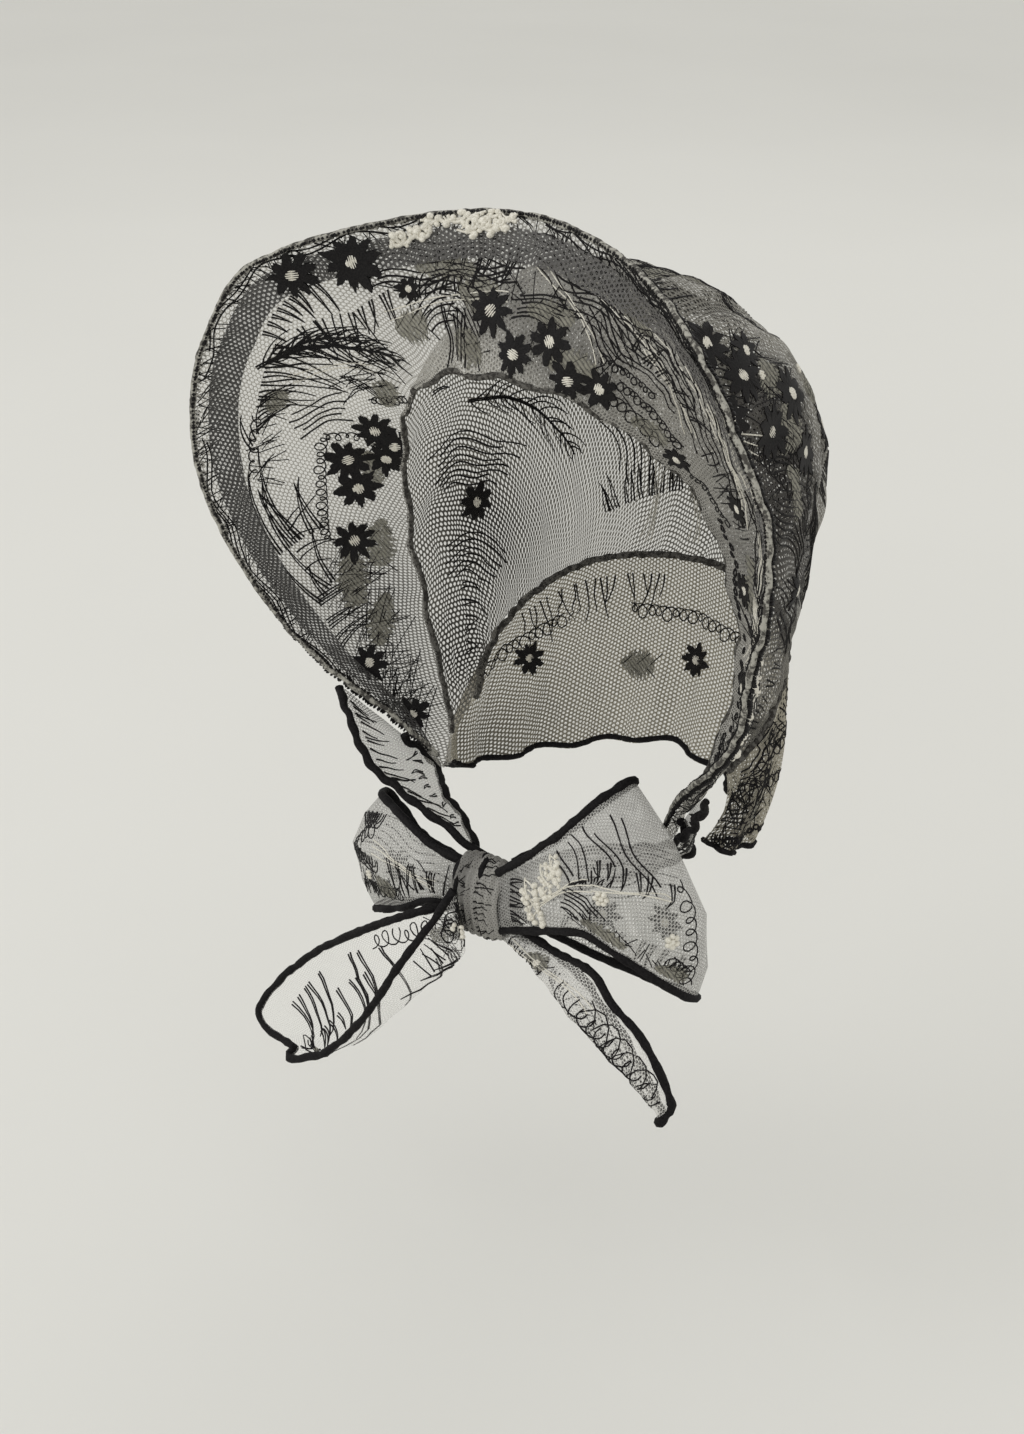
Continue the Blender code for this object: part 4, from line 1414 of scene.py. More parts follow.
BRIM_MOTIFS = tuple(Motif(*row) for row in (
    # Flowers: the dark pair by the rim, the row above the brow and the cluster on the far side
    (K.DAISY, -0.265, 0.17, 0, 0, 0.0100, 9, 0, -0.0024),
    (K.DAISY, -0.200, 0.24, 0, 0, 0.0115, 10, 0, -0.0024),
    (K.DAISY, -0.150, 0.52, 0, 0, 0.0050, 7), (K.DAISY, -0.027, 0.67, 0, 0, 0.0090, 9),
    (K.DAISY, 0.075, 0.75, 0, 0, 0.0085, 8), (K.DAISY, 0.020, 0.87, 0, 0, 0.0080, 9),
    (K.DAISY, 0.122, 0.92, 0, 0, 0.0080, 8), (K.DAISY, 0.175, 0.86, 0, 0, 0.0080, 8),
    (K.DAISY, 0.335, 0.90, 0, 0, 0.0060, 8), (K.DAISY, -0.420, 0.88, 0, 0, 0.0090, 9),
    (K.DAISY, -0.435, 0.96, 0, 0, 0.0080, 8), (K.DAISY, -0.495, 0.77, 0, 0, 0.0100, 9),
    (K.DAISY, -0.535, 0.80, 0, 0, 0.0095, 8), (K.DAISY, -0.470, 0.93, 0, 0, 0.0085, 8),
    (K.DAISY, -0.625, 0.74, 0, 0, 0.0095, 9), (K.DAISY, -0.810, 0.50, 0, 0, 0.0080, 8),
    (K.DAISY, 0.550, 0.80, 0, 0, 0.0070, 8), (K.DAISY, 0.620, 0.70, 0, 0, 0.0070, 8),
    (K.DAISY, 0.700, 0.80, 0, 0, 0.0075, 8), (K.DAISY, 0.780, 0.70, 0, 0, 0.0070, 8),
    (K.DAISY, 0.840, 0.75, 0, 0, 0.0070, 8), (K.DAISY, 0.900, 0.55, 0, 0, 0.0065, 8),
    (K.DAISY, 0.660, 0.45, 0, 0, 0.0070, 8), (K.DAISY, 0.440, 0.62, 0, 0, 0.0065, 8),
    (K.DAISY, -0.900, 0.60, 0, 0, 0.0070, 8),
    # Ivory buds on the top of the rim
    (K.SPRAY, -0.11, 0.04, -0.01, 0.03, 0.0030, 6, 0, -0.0026),
    (K.SPRAY, -0.15, 0.20, -0.10, 0.12, 0.0028, 5, 0, -0.0026),
    (K.SPRAY, -0.07, 0.16, -0.015, 0.15, 0.0026, 5, 0, -0.0026),
    (K.CORD, -0.11, 0.04, 0.00, 0.03, 0.0020, 8, 0, -0.0026),
    (K.CORD, -0.15, 0.19, -0.10, 0.12, 0.0018, 5, 0, -0.0026),
    (K.CORD, -0.06, 0.13, -0.01, 0.11, 0.0018, 5, 0, -0.0026),
    # The feather and the fine strokes below it on the far side
    (K.FEATHER, -0.405, 0.31, -0.235, 0.86, 0.024, 16, 0.75),
    (K.FEATHER, -0.39, 0.36, -0.27, 0.66, 0.018, 12, 0.65),
    (K.HAIRS, -0.46, 0.34, -0.36, 0.36, 0.030, 14, 1.25),
    (K.HAIRS, -0.33, 0.42, -0.24, 0.55, 0.020, 9, 1.6),
    (K.HAIRS, -0.25, 0.55, -0.17, 0.48, 0.016, 8, 1.9), (K.SPIKES, -0.36, 0.28, -0.25, 0.30, 0.015, 9, 1.3),
    (K.SPIKES, -0.66, 0.28, -0.61, 0.60, 0.044, 7, -1.75),
    (K.SPIKES, -0.72, 0.40, -0.68, 0.58, 0.026, 4, -1.4),
    (K.HAIRS, -0.52, 0.30, -0.49, 0.36, 0.014, 4, -1.0), (K.HAIRS, -0.50, 0.34, -0.44, 0.36, 0.016, 8, 0.6),
    (K.HAIRS, -0.68, 0.40, -0.60, 0.40, 0.018, 6, 1.1), (K.CURLS, -0.55, 0.30, -0.47, 0.34, 0.0016, 6),
    (K.SPIKES, -0.80, 0.35, -0.70, 0.40, 0.020, 6, 1.3), (K.HATCH, -0.57, 0.38, -0.46, 0.40, 0.009, 24),
    (K.WAVES, -0.47, 0.50, -0.40, 0.78, 0.016, 5, 0.1),
    (K.CURLS, -0.47, 0.66, -0.58, 0.62, 0.0021, 10), (K.CURLS, -0.47, 0.66, -0.42, 0.98, 0.0018, 8),
    (K.CURLS, -0.37, 0.86, -0.30, 0.98, 0.0020, 7), (K.CURLS, -0.58, 0.62, -0.63, 0.60, 0.0018, 5),
    # The dense strokes over the brow
    (K.WAVES, -0.20, 0.36, 0.02, 0.42, 0.020, 8, 0.3), (K.WAVES, -0.12, 0.52, 0.00, 0.50, 0.014, 6, 0.5),
    (K.WAVES, -0.16, 0.70, -0.085, 0.60, 0.020, 7, 0.2),
    (K.WAVES, -0.085, 0.60, -0.04, 0.80, 0.022, 7, 0.6),
    (K.WAVES, -0.11, 0.98, -0.085, 0.64, 0.012, 6, 0.0), (K.WAVES, 0.00, 0.62, 0.10, 0.60, 0.012, 6, 0.2),
    (K.SPIKES, -0.10, 0.30, 0.02, 0.32, 0.014, 7, 1.9),
    (K.HAIRS, -0.15, 0.60, -0.05, 0.55, 0.014, 10, -1.2),
    # The long strokes of the near side
    (K.WAVES, 0.02, 0.14, 0.13, 0.45, 0.024, 7, 0.2), (K.WAVES, 0.12, 0.40, 0.22, 0.66, 0.022, 7, 0.5),
    (K.WAVES, 0.00, 0.18, 0.34, 0.26, 0.024, 8, 0.2), (K.WAVES, 0.06, 0.40, 0.34, 0.58, 0.022, 7, 0.9),
    (K.WAVES, 0.12, 0.10, 0.28, 0.40, 0.028, 5, 0.8), (K.WAVES, 0.26, 0.30, 0.40, 0.70, 0.028, 6, 0.1),
    (K.CURLS, 0.16, 0.86, 0.30, 0.92, 0.0030, 8),
    (K.WAVES, 0.26, 0.06, 0.42, 0.30, 0.022, 7, 0.4), (K.SPIKES, 0.20, 0.55, 0.32, 0.60, 0.014, 8, -1.3),
    (K.CURLS, 0.20, 0.78, 0.33, 0.82, 0.0020, 12), (K.CURLS, 0.16, 0.70, 0.26, 0.70, 0.0017, 9),
    (K.CURLS, 0.36, 0.92, 0.46, 0.80, 0.0018, 8), (K.HAIRS, 0.36, 0.60, 0.48, 0.60, 0.018, 9, 1.3),
    (K.WAVES, 0.42, 0.30, 0.56, 0.60, 0.020, 7, 0.7), (K.EYELETS, 0.44, 0.88, 0.60, 0.90, 0.0013, 12),
    (K.WAVES, 0.55, 0.35, 0.75, 0.45, 0.020, 7, 0.3), (K.WAVES, 0.70, 0.40, 0.92, 0.50, 0.018, 6, 0.3),
    (K.EYELETS, 0.60, 0.55, 0.80, 0.55, 0.0013, 12), (K.SPRAY, 0.58, 0.30, 0.78, 0.26, 0.0034, 12),
    (K.EYELETS, 0.62, 0.90, 0.90, 0.85, 0.0013, 14),
    (K.SPIKES, 0.55, 0.50, 0.70, 0.60, 0.012, 8, 1.5), (K.SPIKES, 0.72, 0.50, 0.90, 0.60, 0.012, 8, 1.5),
    # Pale lines painted along the folds as their highlights, where the net doubles
    (K.CREASE, 0.03, 0.30, 0.16, 0.75, 0.0030, 2), (K.CREASE, 0.22, 0.45, 0.33, 0.70, 0.0024, 3),
    (K.CREASE, 0.16, 0.24, 0.42, 0.48, 0.0040, 2), (K.CREASE, 0.34, 0.16, 0.50, 0.50, 0.0030, 3),
    (K.CREASE, 0.56, 0.60, 0.90, 0.64, 0.0028, 4), (K.CREASE, 0.50, 0.15, 0.62, 0.60, 0.0028, 3),
    (K.CREASE, 0.10, 0.30, 0.24, 0.50, 0.0030, 2), (K.CREASE, 0.30, 0.20, 0.46, 0.60, 0.0030, 2),
    (K.CREASE, -0.20, 0.62, 0.00, 0.60, 0.0030, 2), (K.CREASE, 0.50, 0.40, 0.66, 0.85, 0.0030, 2),
    (K.CREASE, -0.40, 0.48, -0.30, 0.80, 0.0030, 2),
    # Leaves of doubled net
    (K.LEAF, -0.20, 0.70, -0.14, 0.74, 0.0075, 6), (K.LEAF, -0.08, 0.56, -0.02, 0.60, 0.0080, 6),
    (K.LEAF, -0.13, 0.40, -0.05, 0.44, 0.0050, 5), (K.LEAF, 0.03, 0.62, 0.10, 0.60, 0.0060, 5),
    (K.LEAF, 0.08, 0.86, 0.16, 0.80, 0.0060, 5), (K.LEAF, -0.64, 0.70, -0.72, 0.62, 0.0080, 6),
    (K.LEAF, -0.70, 0.82, -0.78, 0.66, 0.0070, 6), (K.LEAF, -0.58, 0.88, -0.66, 0.84, 0.0070, 5),
    (K.LEAF, -0.36, 0.92, -0.30, 0.88, 0.0060, 5), (K.LEAF, -0.52, 0.90, -0.47, 0.84, 0.0060, 4),
    (K.LEAF, 0.24, 0.92, 0.31, 0.86, 0.0050, 5), (K.LEAF, -0.10, 0.80, -0.05, 0.90, 0.0070, 5),
    (K.LEAF, 0.50, 0.70, 0.58, 0.74, 0.0060, 4), (K.LEAF, 0.66, 0.60, 0.74, 0.66, 0.0060, 4),
    (K.LEAF, -0.46, 0.40, -0.42, 0.46, 0.0050, 4), (K.LEAF, 0.16, 0.30, 0.22, 0.36, 0.0050, 4),
    # Fine hatching of the outer strip
    (K.HATCH, -0.98, 0.06, -0.70, 0.05, 0.009, 130), (K.HATCH, -0.70, 0.05, -0.35, 0.05, 0.009, 130),
    (K.HATCH, -0.35, 0.04, 0.00, 0.04, 0.008, 110), (K.HATCH, 0.00, 0.05, 0.50, 0.05, 0.010, 160),
    (K.HATCH, 0.50, 0.08, 0.98, 0.08, 0.010, 160), (K.WAVES, -0.90, 0.05, -0.50, 0.05, 0.005, 3, 0.3),
    (K.WAVES, -0.50, 0.04, 0.10, 0.04, 0.004, 2, 0.3), (K.WAVES, 0.10, 0.08, 0.60, 0.08, 0.010, 4, 0.3),
    (K.HATCH, -0.20, 0.50, 0.05, 0.55, 0.020, 16), (K.HATCH, 0.00, 0.60, 0.20, 0.70, 0.024, 12),
    (K.HATCH, 0.12, 0.35, 0.36, 0.50, 0.030, 8), (K.HATCH, 0.36, 0.50, 0.60, 0.60, 0.030, 20),
    (K.HATCH, 0.60, 0.60, 0.92, 0.60, 0.024, 110), (K.HATCH, -0.92, 0.60, -0.64, 0.70, 0.020, 90),
    (K.HATCH, -0.36, 0.80, -0.24, 0.75, 0.018, 30),
))
CROWN_MOTIFS = tuple(Motif(*row) for row in (
    (K.DAISY, 0.25, 0.20, 0, 0, 0.0100, 9), (K.DAISY, 0.32, 0.22, 0, 0, 0.0105, 9),
    (K.DAISY, 0.36, 0.13, 0, 0, 0.0095, 9), (K.DAISY, 0.36, 0.36, 0, 0, 0.0110, 9),
    (K.DAISY, 0.41, 0.25, 0, 0, 0.0115, 9), (K.DAISY, 0.35, 0.57, 0, 0, 0.0100, 8),
    (K.DAISY, 0.435, 0.42, 0, 0, 0.0100, 8), (K.DAISY, 0.285, 0.27, 0, 0, 0.0080, 8),
    (K.DAISY, -0.30, 0.35, 0, 0, 0.0095, 9), (K.DAISY, -0.36, 0.45, 0, 0, 0.0090, 8),
    (K.DAISY, -0.24, 0.46, 0, 0, 0.0085, 8), (K.DAISY, 0.02, 0.66, 0, 0, 0.0095, 9),
    (K.DAISY, 0.09, 0.70, 0, 0, 0.0100, 8), (K.DAISY, -0.07, 0.71, 0, 0, 0.0100, 9),
    (K.DAISY, -0.02, 0.80, 0, 0, 0.0110, 9), (K.DAISY, 0.16, 0.79, 0, 0, 0.0090, 8),
    (K.DAISY, -0.15, 0.62, 0, 0, 0.0090, 8), (K.DAISY, -0.22, 0.74, 0, 0, 0.0085, 8),
    (K.DAISY, -0.60, 0.45, 0, 0, 0.0085, 8), (K.DAISY, 0.62, 0.45, 0, 0, 0.0080, 8),
    (K.FEATHER, -0.10, 0.20, -0.02, 0.55, 0.026, 18, 0.75),
    (K.FEATHER, 0.16, 0.60, 0.30, 0.85, 0.024, 14, 0.75),
    (K.FEATHER, -0.46, 0.30, -0.40, 0.75, 0.022, 14, 0.75),
    (K.FEATHER, 0.46, 0.52, 0.52, 0.85, 0.020, 12, 0.75),
    (K.CURLS, 0.10, 0.12, 0.20, 0.20, 0.0022, 9), (K.CURLS, 0.40, 0.14, 0.50, 0.30, 0.0025, 10),
    (K.CURLS, 0.16, 0.36, 0.24, 0.44, 0.0022, 9), (K.CURLS, -0.16, 0.30, -0.24, 0.30, 0.0022, 9),
    (K.CURLS, 0.44, 0.44, 0.50, 0.50, 0.0022, 7), (K.CURLS, 0.02, 0.88, 0.24, 0.74, 0.0030, 14),
    (K.CURLS, -0.26, 0.66, -0.12, 0.84, 0.0028, 10), (K.WAVES, -0.10, 0.50, 0.12, 0.54, 0.022, 9, 0.3),
    (K.WAVES, 0.00, 0.30, 0.16, 0.42, 0.028, 8, 0.2), (K.HATCH, -0.16, 0.74, 0.14, 0.76, 0.030, 60),
    (K.FEATHER, 0.26, 0.96, 0.08, 0.86, 0.020, 12, 0.75), (K.LEAF, -0.10, 0.86, -0.02, 0.90, 0.0110, 8),
    (K.LEAF, 0.08, 0.78, 0.16, 0.72, 0.0110, 8),
    (K.WAVES, 0.03, 0.08, 0.12, 0.30, 0.030, 7, 0.2), (K.WAVES, 0.30, 0.08, 0.36, 0.24, 0.024, 6, 0.6),
    (K.WAVES, 0.42, 0.20, 0.46, 0.42, 0.022, 8, 0.6), (K.WAVES, 0.50, 0.15, 0.56, 0.60, 0.024, 8, 0.1),
    (K.WAVES, -0.28, 0.60, -0.20, 0.92, 0.030, 8, 0.1), (K.WAVES, 0.62, 0.20, 0.68, 0.80, 0.020, 6, 0.1),
    (K.WAVES, -0.56, 0.15, -0.52, 0.60, 0.024, 8, 0.1), (K.WAVES, -0.70, 0.20, -0.66, 0.80, 0.020, 6, 0.1),
    (K.SPIKES, 0.06, 0.45, 0.16, 0.48, 0.020, 9, 1.4), (K.SPIKES, 0.34, 0.60, 0.44, 0.62, 0.022, 9, 1.4),
    (K.SPIKES, -0.22, 0.10, -0.06, 0.12, 0.020, 10, 1.4),
    (K.SPIKES, -0.42, 0.12, -0.28, 0.16, 0.020, 9, 1.4),
    (K.SPIKES, 0.10, 0.88, 0.34, 0.92, 0.020, 12, -1.4),
    (K.SPIKES, -0.34, 0.92, -0.10, 0.90, 0.020, 12, -1.4),
    (K.HAIRS, 0.52, 0.60, 0.60, 0.70, 0.020, 9, 1.3), (K.HAIRS, 0.70, 0.40, 0.85, 0.50, 0.016, 10, 1.3),
    (K.HAIRS, -0.85, 0.45, -0.70, 0.40, 0.016, 10, 1.3),
    (K.LEAF, 0.30, 0.30, 0.36, 0.30, 0.0100, 8), (K.LEAF, 0.38, 0.30, 0.43, 0.36, 0.0100, 8),
    (K.HATCH, 0.26, 0.24, 0.44, 0.34, 0.030, 40), (K.HATCH, 0.44, 0.20, 0.60, 0.50, 0.040, 12),
    (K.LEAF, 0.24, 0.50, 0.30, 0.58, 0.0100, 8),
    (K.LEAF, -0.32, 0.40, -0.24, 0.42, 0.0110, 8), (K.LEAF, 0.00, 0.70, 0.08, 0.68, 0.0100, 8),
    (K.LEAF, 0.06, 0.28, 0.12, 0.36, 0.0080, 6), (K.LEAF, 0.46, 0.30, 0.52, 0.40, 0.0080, 6),
    (K.ROSETTE, 0.33, 0.27, 0, 0, 0.0022), (K.ROSETTE, 0.29, 0.47, 0, 0, 0.0022),
    # Pale lines on the gathers by the neck seam and by the face edge, painted highlights of those folds
    (K.CREASE, -0.20, 0.98, -0.17, 0.84, 0.0022, 3), (K.CREASE, -0.05, 0.98, -0.06, 0.88, 0.0022, 3),
    (K.CREASE, 0.10, 0.98, 0.09, 0.82, 0.0022, 3), (K.CREASE, 0.24, 0.98, 0.21, 0.86, 0.0022, 3),
    (K.CREASE, 0.14, 0.05, 0.22, 0.16, 0.0030, 3), (K.CREASE, 0.36, 0.06, 0.42, 0.20, 0.0030, 3),
))
CROWN_SHADES = (
    Shade(0.36, 0.27, 0.08, 0.20, 0.62, 0.34), Shade(0.52, 0.34, 0.13, 0.40, 0.62, 0.60),
    Shade(0.62, 0.5, 0.10, 0.5, 0.50, 0.30), Shade(-0.30, 0.42, 0.10, 0.2, 0.45, 0.20),
    Shade(0.00, 0.74, 0.20, 0.22, 0.45, 0.25), Shade(-0.62, 0.5, 0.12, 0.5, 0.45, 0.30),
    Shade(0.16, 0.20, 0.10, 0.3, 0.25, 0.05), Shade(0.85, 0.5, 0.12, 0.9, 0.45, 0.3),
    Shade(-0.85, 0.5, 0.12, 0.9, 0.45, 0.3),
)
CURTAIN_MOTIFS = tuple(Motif(*row) for row in (
    (K.SPIKES, -0.90, 0.95, -0.40, 0.95, 0.030, 22, 1.4),
    (K.SPIKES, -0.40, 0.95, 0.10, 0.95, 0.030, 22, 1.4),
    (K.SPIKES, 0.10, 0.95, 0.60, 0.95, 0.030, 22, 1.4), (K.SPIKES, 0.60, 0.95, 0.93, 0.95, 0.026, 16, 1.4),
    (K.CURLS, -0.80, 0.35, -0.40, 0.30, 0.0028, 16), (K.CURLS, -0.20, 0.30, 0.20, 0.34, 0.0028, 16),
    (K.CURLS, 0.40, 0.30, 0.85, 0.40, 0.0028, 18), (K.CURLS, 0.55, 0.60, 0.70, 0.55, 0.0022, 8),
    (K.HAIRS, -0.60, 0.10, -0.10, 0.10, 0.018, 20, 1.6), (K.HAIRS, 0.20, 0.10, 0.80, 0.10, 0.018, 26, 1.6),
    (K.DAISY, 0.50, 0.45, 0, 0, 0.0075, 8), (K.DAISY, -0.50, 0.45, 0, 0, 0.0075, 8),
    (K.DAISY, 0.02, 0.55, 0, 0, 0.0080, 8), (K.LEAF, 0.68, 0.70, 0.78, 0.66, 0.0070, 5),
    (K.LEAF, -0.20, 0.60, -0.10, 0.60, 0.0070, 5), (K.LEAF, 0.30, 0.64, 0.40, 0.64, 0.0070, 5),
    (K.EYELETS, 0.55, 0.88, 0.85, 0.88, 0.0013, 16), (K.WAVES, 0.62, 0.20, 0.92, 0.30, 0.014, 6, 0.3),
    (K.WAVES, 0.66, 0.60, 0.93, 0.80, 0.020, 8, 0.6), (K.HATCH, 0.66, 0.55, 0.92, 0.60, 0.022, 60),
    (K.CURLS, 0.74, 0.15, 0.92, 0.50, 0.0030, 10), (K.ARCHES, 0.70, 0.80, 0.93, 0.90, 0.0060, 7),
))
RIBBON_MOTIFS = {
    "near_loop": (
        (K.HAIRS, 0.045, 0.90, 0.045, 0.10, 0.010, 14, 1.5), (K.SPRAY, 0.09, 0.22, 0.11, 0.86, 0.007, 9),
        (K.SPRAY, 0.14, 0.14, 0.15, 0.50, 0.006, 6),
        (K.SPRAY, 0.18, 0.10, 0.185, 0.40, 0.005, 6), (K.ROSETTE, 0.29, 0.62, 0, 0, 0.0036),
        (K.ROSETTE, 0.42, 0.74, 0, 0, 0.0036), (K.WAVES, 0.20, 0.06, 0.22, 0.52, 0.006, 2, 0.2),
        (K.WAVES, 0.25, 0.04, 0.27, 0.55, 0.007, 2, 0.5), (K.WAVES, 0.32, 0.04, 0.34, 0.45, 0.006, 2, 0.1),
        (K.WAVES, 0.38, 0.06, 0.40, 0.50, 0.006, 2, 0.7),
        (K.SPIKES, 0.21, 0.50, 0.31, 0.50, 0.012, 7, -1.4),
        (K.WAVES, 0.19, 0.58, 0.27, 0.90, 0.014, 6, 0.3), (K.SPIKES, 0.30, 0.30, 0.44, 0.42, 0.012, 6, 1.3),
        (K.CURLS, 0.445, 0.40, 0.465, 0.96, 0.0028, 8), (K.CURLS, 0.42, 0.86, 0.46, 0.90, 0.0024, 5),
        # Pale lines along the folds here are painted highlights
        (K.CREASE, 0.10, 0.60, 0.27, 0.52, 0.0016, 3), (K.CREASE, 0.27, 0.52, 0.42, 0.50, 0.0016, 2),
        (K.WAVES, 0.56, 0.30, 0.90, 0.40, 0.022, 5, 0.2), (K.SPIKES, 0.60, 0.80, 0.90, 0.75, 0.018, 9, 1.4),
        (K.DAISY, 0.66, 0.62, 0, 0, 0.0075, 8), (K.DAISY, 0.80, 0.66, 0, 0, 0.0070, 8),
        (K.LEAF, 0.24, 0.90, 0.34, 0.94, 0.0040, 5), (K.LEAF, 0.40, 0.94, 0.46, 0.92, 0.0040, 4),
        (K.HATCH, 0.22, 0.90, 0.46, 0.94, 0.008, 50),
    ),
    "far_loop": (
        (K.ARCHES, 0.36, 0.10, 0.46, 0.20, 0.0060, 4), (K.ARCHES, 0.34, 0.60, 0.46, 0.50, 0.0060, 4),
        (K.CURLS, 0.38, 0.24, 0.47, 0.60, 0.0034, 6), (K.CURLS, 0.26, 0.88, 0.40, 0.84, 0.0026, 8),
        (K.SPIKES, 0.10, 0.40, 0.30, 0.50, 0.016, 6, 1.4), (K.ROSETTE, 0.40, 0.74, 0, 0, 0.0024),
        (K.HAIRS, 0.06, 0.85, 0.24, 0.85, 0.014, 8, -1.4), (K.LEAF, 0.28, 0.86, 0.36, 0.80, 0.0060, 5),
        (K.HATCH, 0.26, 0.84, 0.44, 0.80, 0.008, 50), (K.WAVES, 0.55, 0.30, 0.92, 0.40, 0.022, 5, 0.2),
        # The pale fold line at the end of the next row is a painted highlight
        (K.DAISY, 0.70, 0.60, 0, 0, 0.0075, 8), (K.CREASE, 0.12, 0.66, 0.36, 0.45, 0.0020, 3),
    ),
    "near_tail": (
        (K.SPIKES, 0.05, 0.30, 0.24, 0.36, 0.014, 6, 1.2),
        (K.HAIRS, 0.05, 0.75, 0.24, 0.85, 0.014, 8, -1.3),
        (K.SPIKES, 0.26, 0.85, 0.40, 0.85, 0.020, 3, -1.2), (K.LEAF, 0.14, 0.30, 0.24, 0.30, 0.0050, 5),
        (K.ARCHES, 0.34, 0.30, 0.92, 0.30, 0.0100, 5), (K.ARCHES, 0.42, 0.72, 0.92, 0.66, 0.0095, 5),
        # The pale fold line at the end of the next row is a painted highlight
        (K.CURLS, 0.48, 0.40, 0.88, 0.40, 0.0060, 6), (K.CREASE, 0.06, 0.30, 0.50, 0.24, 0.0022, 2),
        (K.ROSETTE, 0.20, 0.30, 0, 0, 0.0020), (K.HATCH, 0.50, 0.50, 0.90, 0.50, 0.012, 8),
    ),
    "far_tail": (
        (K.ROSETTE, 0.10, 0.40, 0, 0, 0.0032), (K.LEAF, 0.04, 0.50, 0.12, 0.54, 0.0050, 5),
        (K.LEAF, 0.10, 0.70, 0.18, 0.80, 0.0040, 4), (K.HATCH, 0.03, 0.50, 0.20, 0.70, 0.014, 50),
        (K.CURLS, 0.12, 0.84, 0.36, 0.93, 0.0034, 7), (K.CURLS, 0.08, 0.16, 0.18, 0.16, 0.0028, 4),
        (K.HAIRS, 0.20, 0.28, 0.40, 0.30, 0.026, 7, -1.5),
        (K.SPIKES, 0.16, 0.60, 0.30, 0.66, 0.020, 3, -1.6),
        (K.SPIKES, 0.34, 0.86, 0.54, 0.94, 0.040, 3, -2.1),
        (K.SPIKES, 0.52, 0.78, 0.72, 0.80, 0.046, 4, -2.2),
        (K.SPIKES, 0.66, 0.92, 0.86, 0.88, 0.040, 5, -1.9),
        (K.SPIKES, 0.78, 0.70, 0.93, 0.66, 0.020, 5, -2.0),
        (K.CURLS, 0.93, 0.20, 0.965, 0.60, 0.0020, 5), (K.LEAF, 0.935, 0.12, 0.96, 0.42, 0.0030, 4),
    ),
    "near_tie": (
        (K.WAVES, 0.05, 0.50, 0.95, 0.50, 0.012, 5, 0.2),
        (K.SPIKES, 0.10, 0.20, 0.90, 0.20, 0.008, 14, 1.3),
    ),
    "far_tie": (
        (K.HAIRS, 0.05, 0.10, 0.95, 0.10, 0.014, 22, 1.0),
        (K.SPIKES, 0.20, 0.80, 0.90, 0.80, 0.010, 10, -1.3),
    ),
}


@dataclass
class SubAssembly:
    """What every sub-assembly has: the finishes, and the plans that make its threads and buds."""

    palette: Palette
    threads: NodePlan
    buds: NodePlan

    def embroider(self, cloth: Cloth, name: str, motifs: Sequence[Motif], seed: int,
                  ends: Pair, edges: Pair = (0.012, 0.988)) -> list[bpy.types.Object]:
        """Builds a cloth and sews its motifs on it.

        Args:
            cloth: the cloth.
            name: the start of each sewn piece's name.
            motifs: the motifs in the order of working.
            seed: the needle's seed.
            ends: how far along the needle goes.
            edges: how far across the needle goes.

        Returns:
            The sewn pieces.
        """
        cloth.build()
        needle = Needlework(cloth, self.palette, self.threads, self.buds, seed=seed, ends=ends, edges=edges)
        needle.work(motifs)
        return needle.sew(name)

    def rolled(self, name: str, line: Array, radius: float, finish: bpy.types.Material,
               **looks: object) -> bpy.types.Object:
        """Rolls an edge along a line."""
        return Roll(name, line, radius, finish, self.threads, **looks).build()


@dataclass
class Brim(SubAssembly):
    """The standing brim with its dark band, rolled rim and embroidery."""

    surface: BrimSurface = field(default_factory=lambda: BrimSurface(folds=BRIM_FOLDS))
    rim_radius: float = 0.0012

    def build(self) -> None:
        """Builds each piece of the brim."""
        cloth = Cloth("brim_net", self.surface, (-1.0, 1.0), (440, 48), self.palette.brim_net, ("brim",),
                      "tulle", "gathered", ("crown",), BRIM_SHADES, tone=0.30, cover=0.06)
        on_it = self.embroider(cloth, "brim", BRIM_MOTIFS, 11, (-0.985, 0.985))
        rim = rows_of(self.surface, (-0.998, 0.998), 0.004, 420)
        on_it.append(self.rolled("rim_roll", rim, self.rim_radius, self.palette.rim_roll, slot="tulle",
                                 lumps=1.1, lump_size=0.004))
        on_it.append(self.stitches())
        shades = (Shade(0.36, 0.5, 0.42, 9.0, -0.62, -0.26), Shade(0.90, 0.5, 0.2, 3.0, 0.2, 0.1))
        band = Cloth("rim_band_net", BandSurface(brim=self.surface), SEAM_ENDS, (420, 10),
                     self.palette.band_net, ("rim_band",), "dark_net", "stretched", ("brim_net",),
                     shades, tone=0.76, cover=0.34)
        band.build()

    def stitches(self) -> bpy.types.Object:
        """Short black stitches that bind the rim."""
        sway = np.random.default_rng(5)
        lines = []
        for at in np.arange(-0.985, 0.985, 0.0042):
            start = at + sway.uniform(-0.001, 0.001)
            across = np.linspace(0.0, sway.uniform(0.02, 0.05), 5)
            lift = np.array([-0.0012, 0.0, 0.0012, 0.0016, 0.0006]) * 1.3
            places = self.surface.place(np.linspace(start, start + 0.003, 5), across, lift)
            lines.append((places, np.full(5, sway.uniform(0.0005, 0.0009))))
        piece = guide("rim_stitches", lines)
        self.threads.run(piece, Sides=4, Lumps=0.5, Lump_size=0.003, Finish=self.palette.black_thread)
        return piece


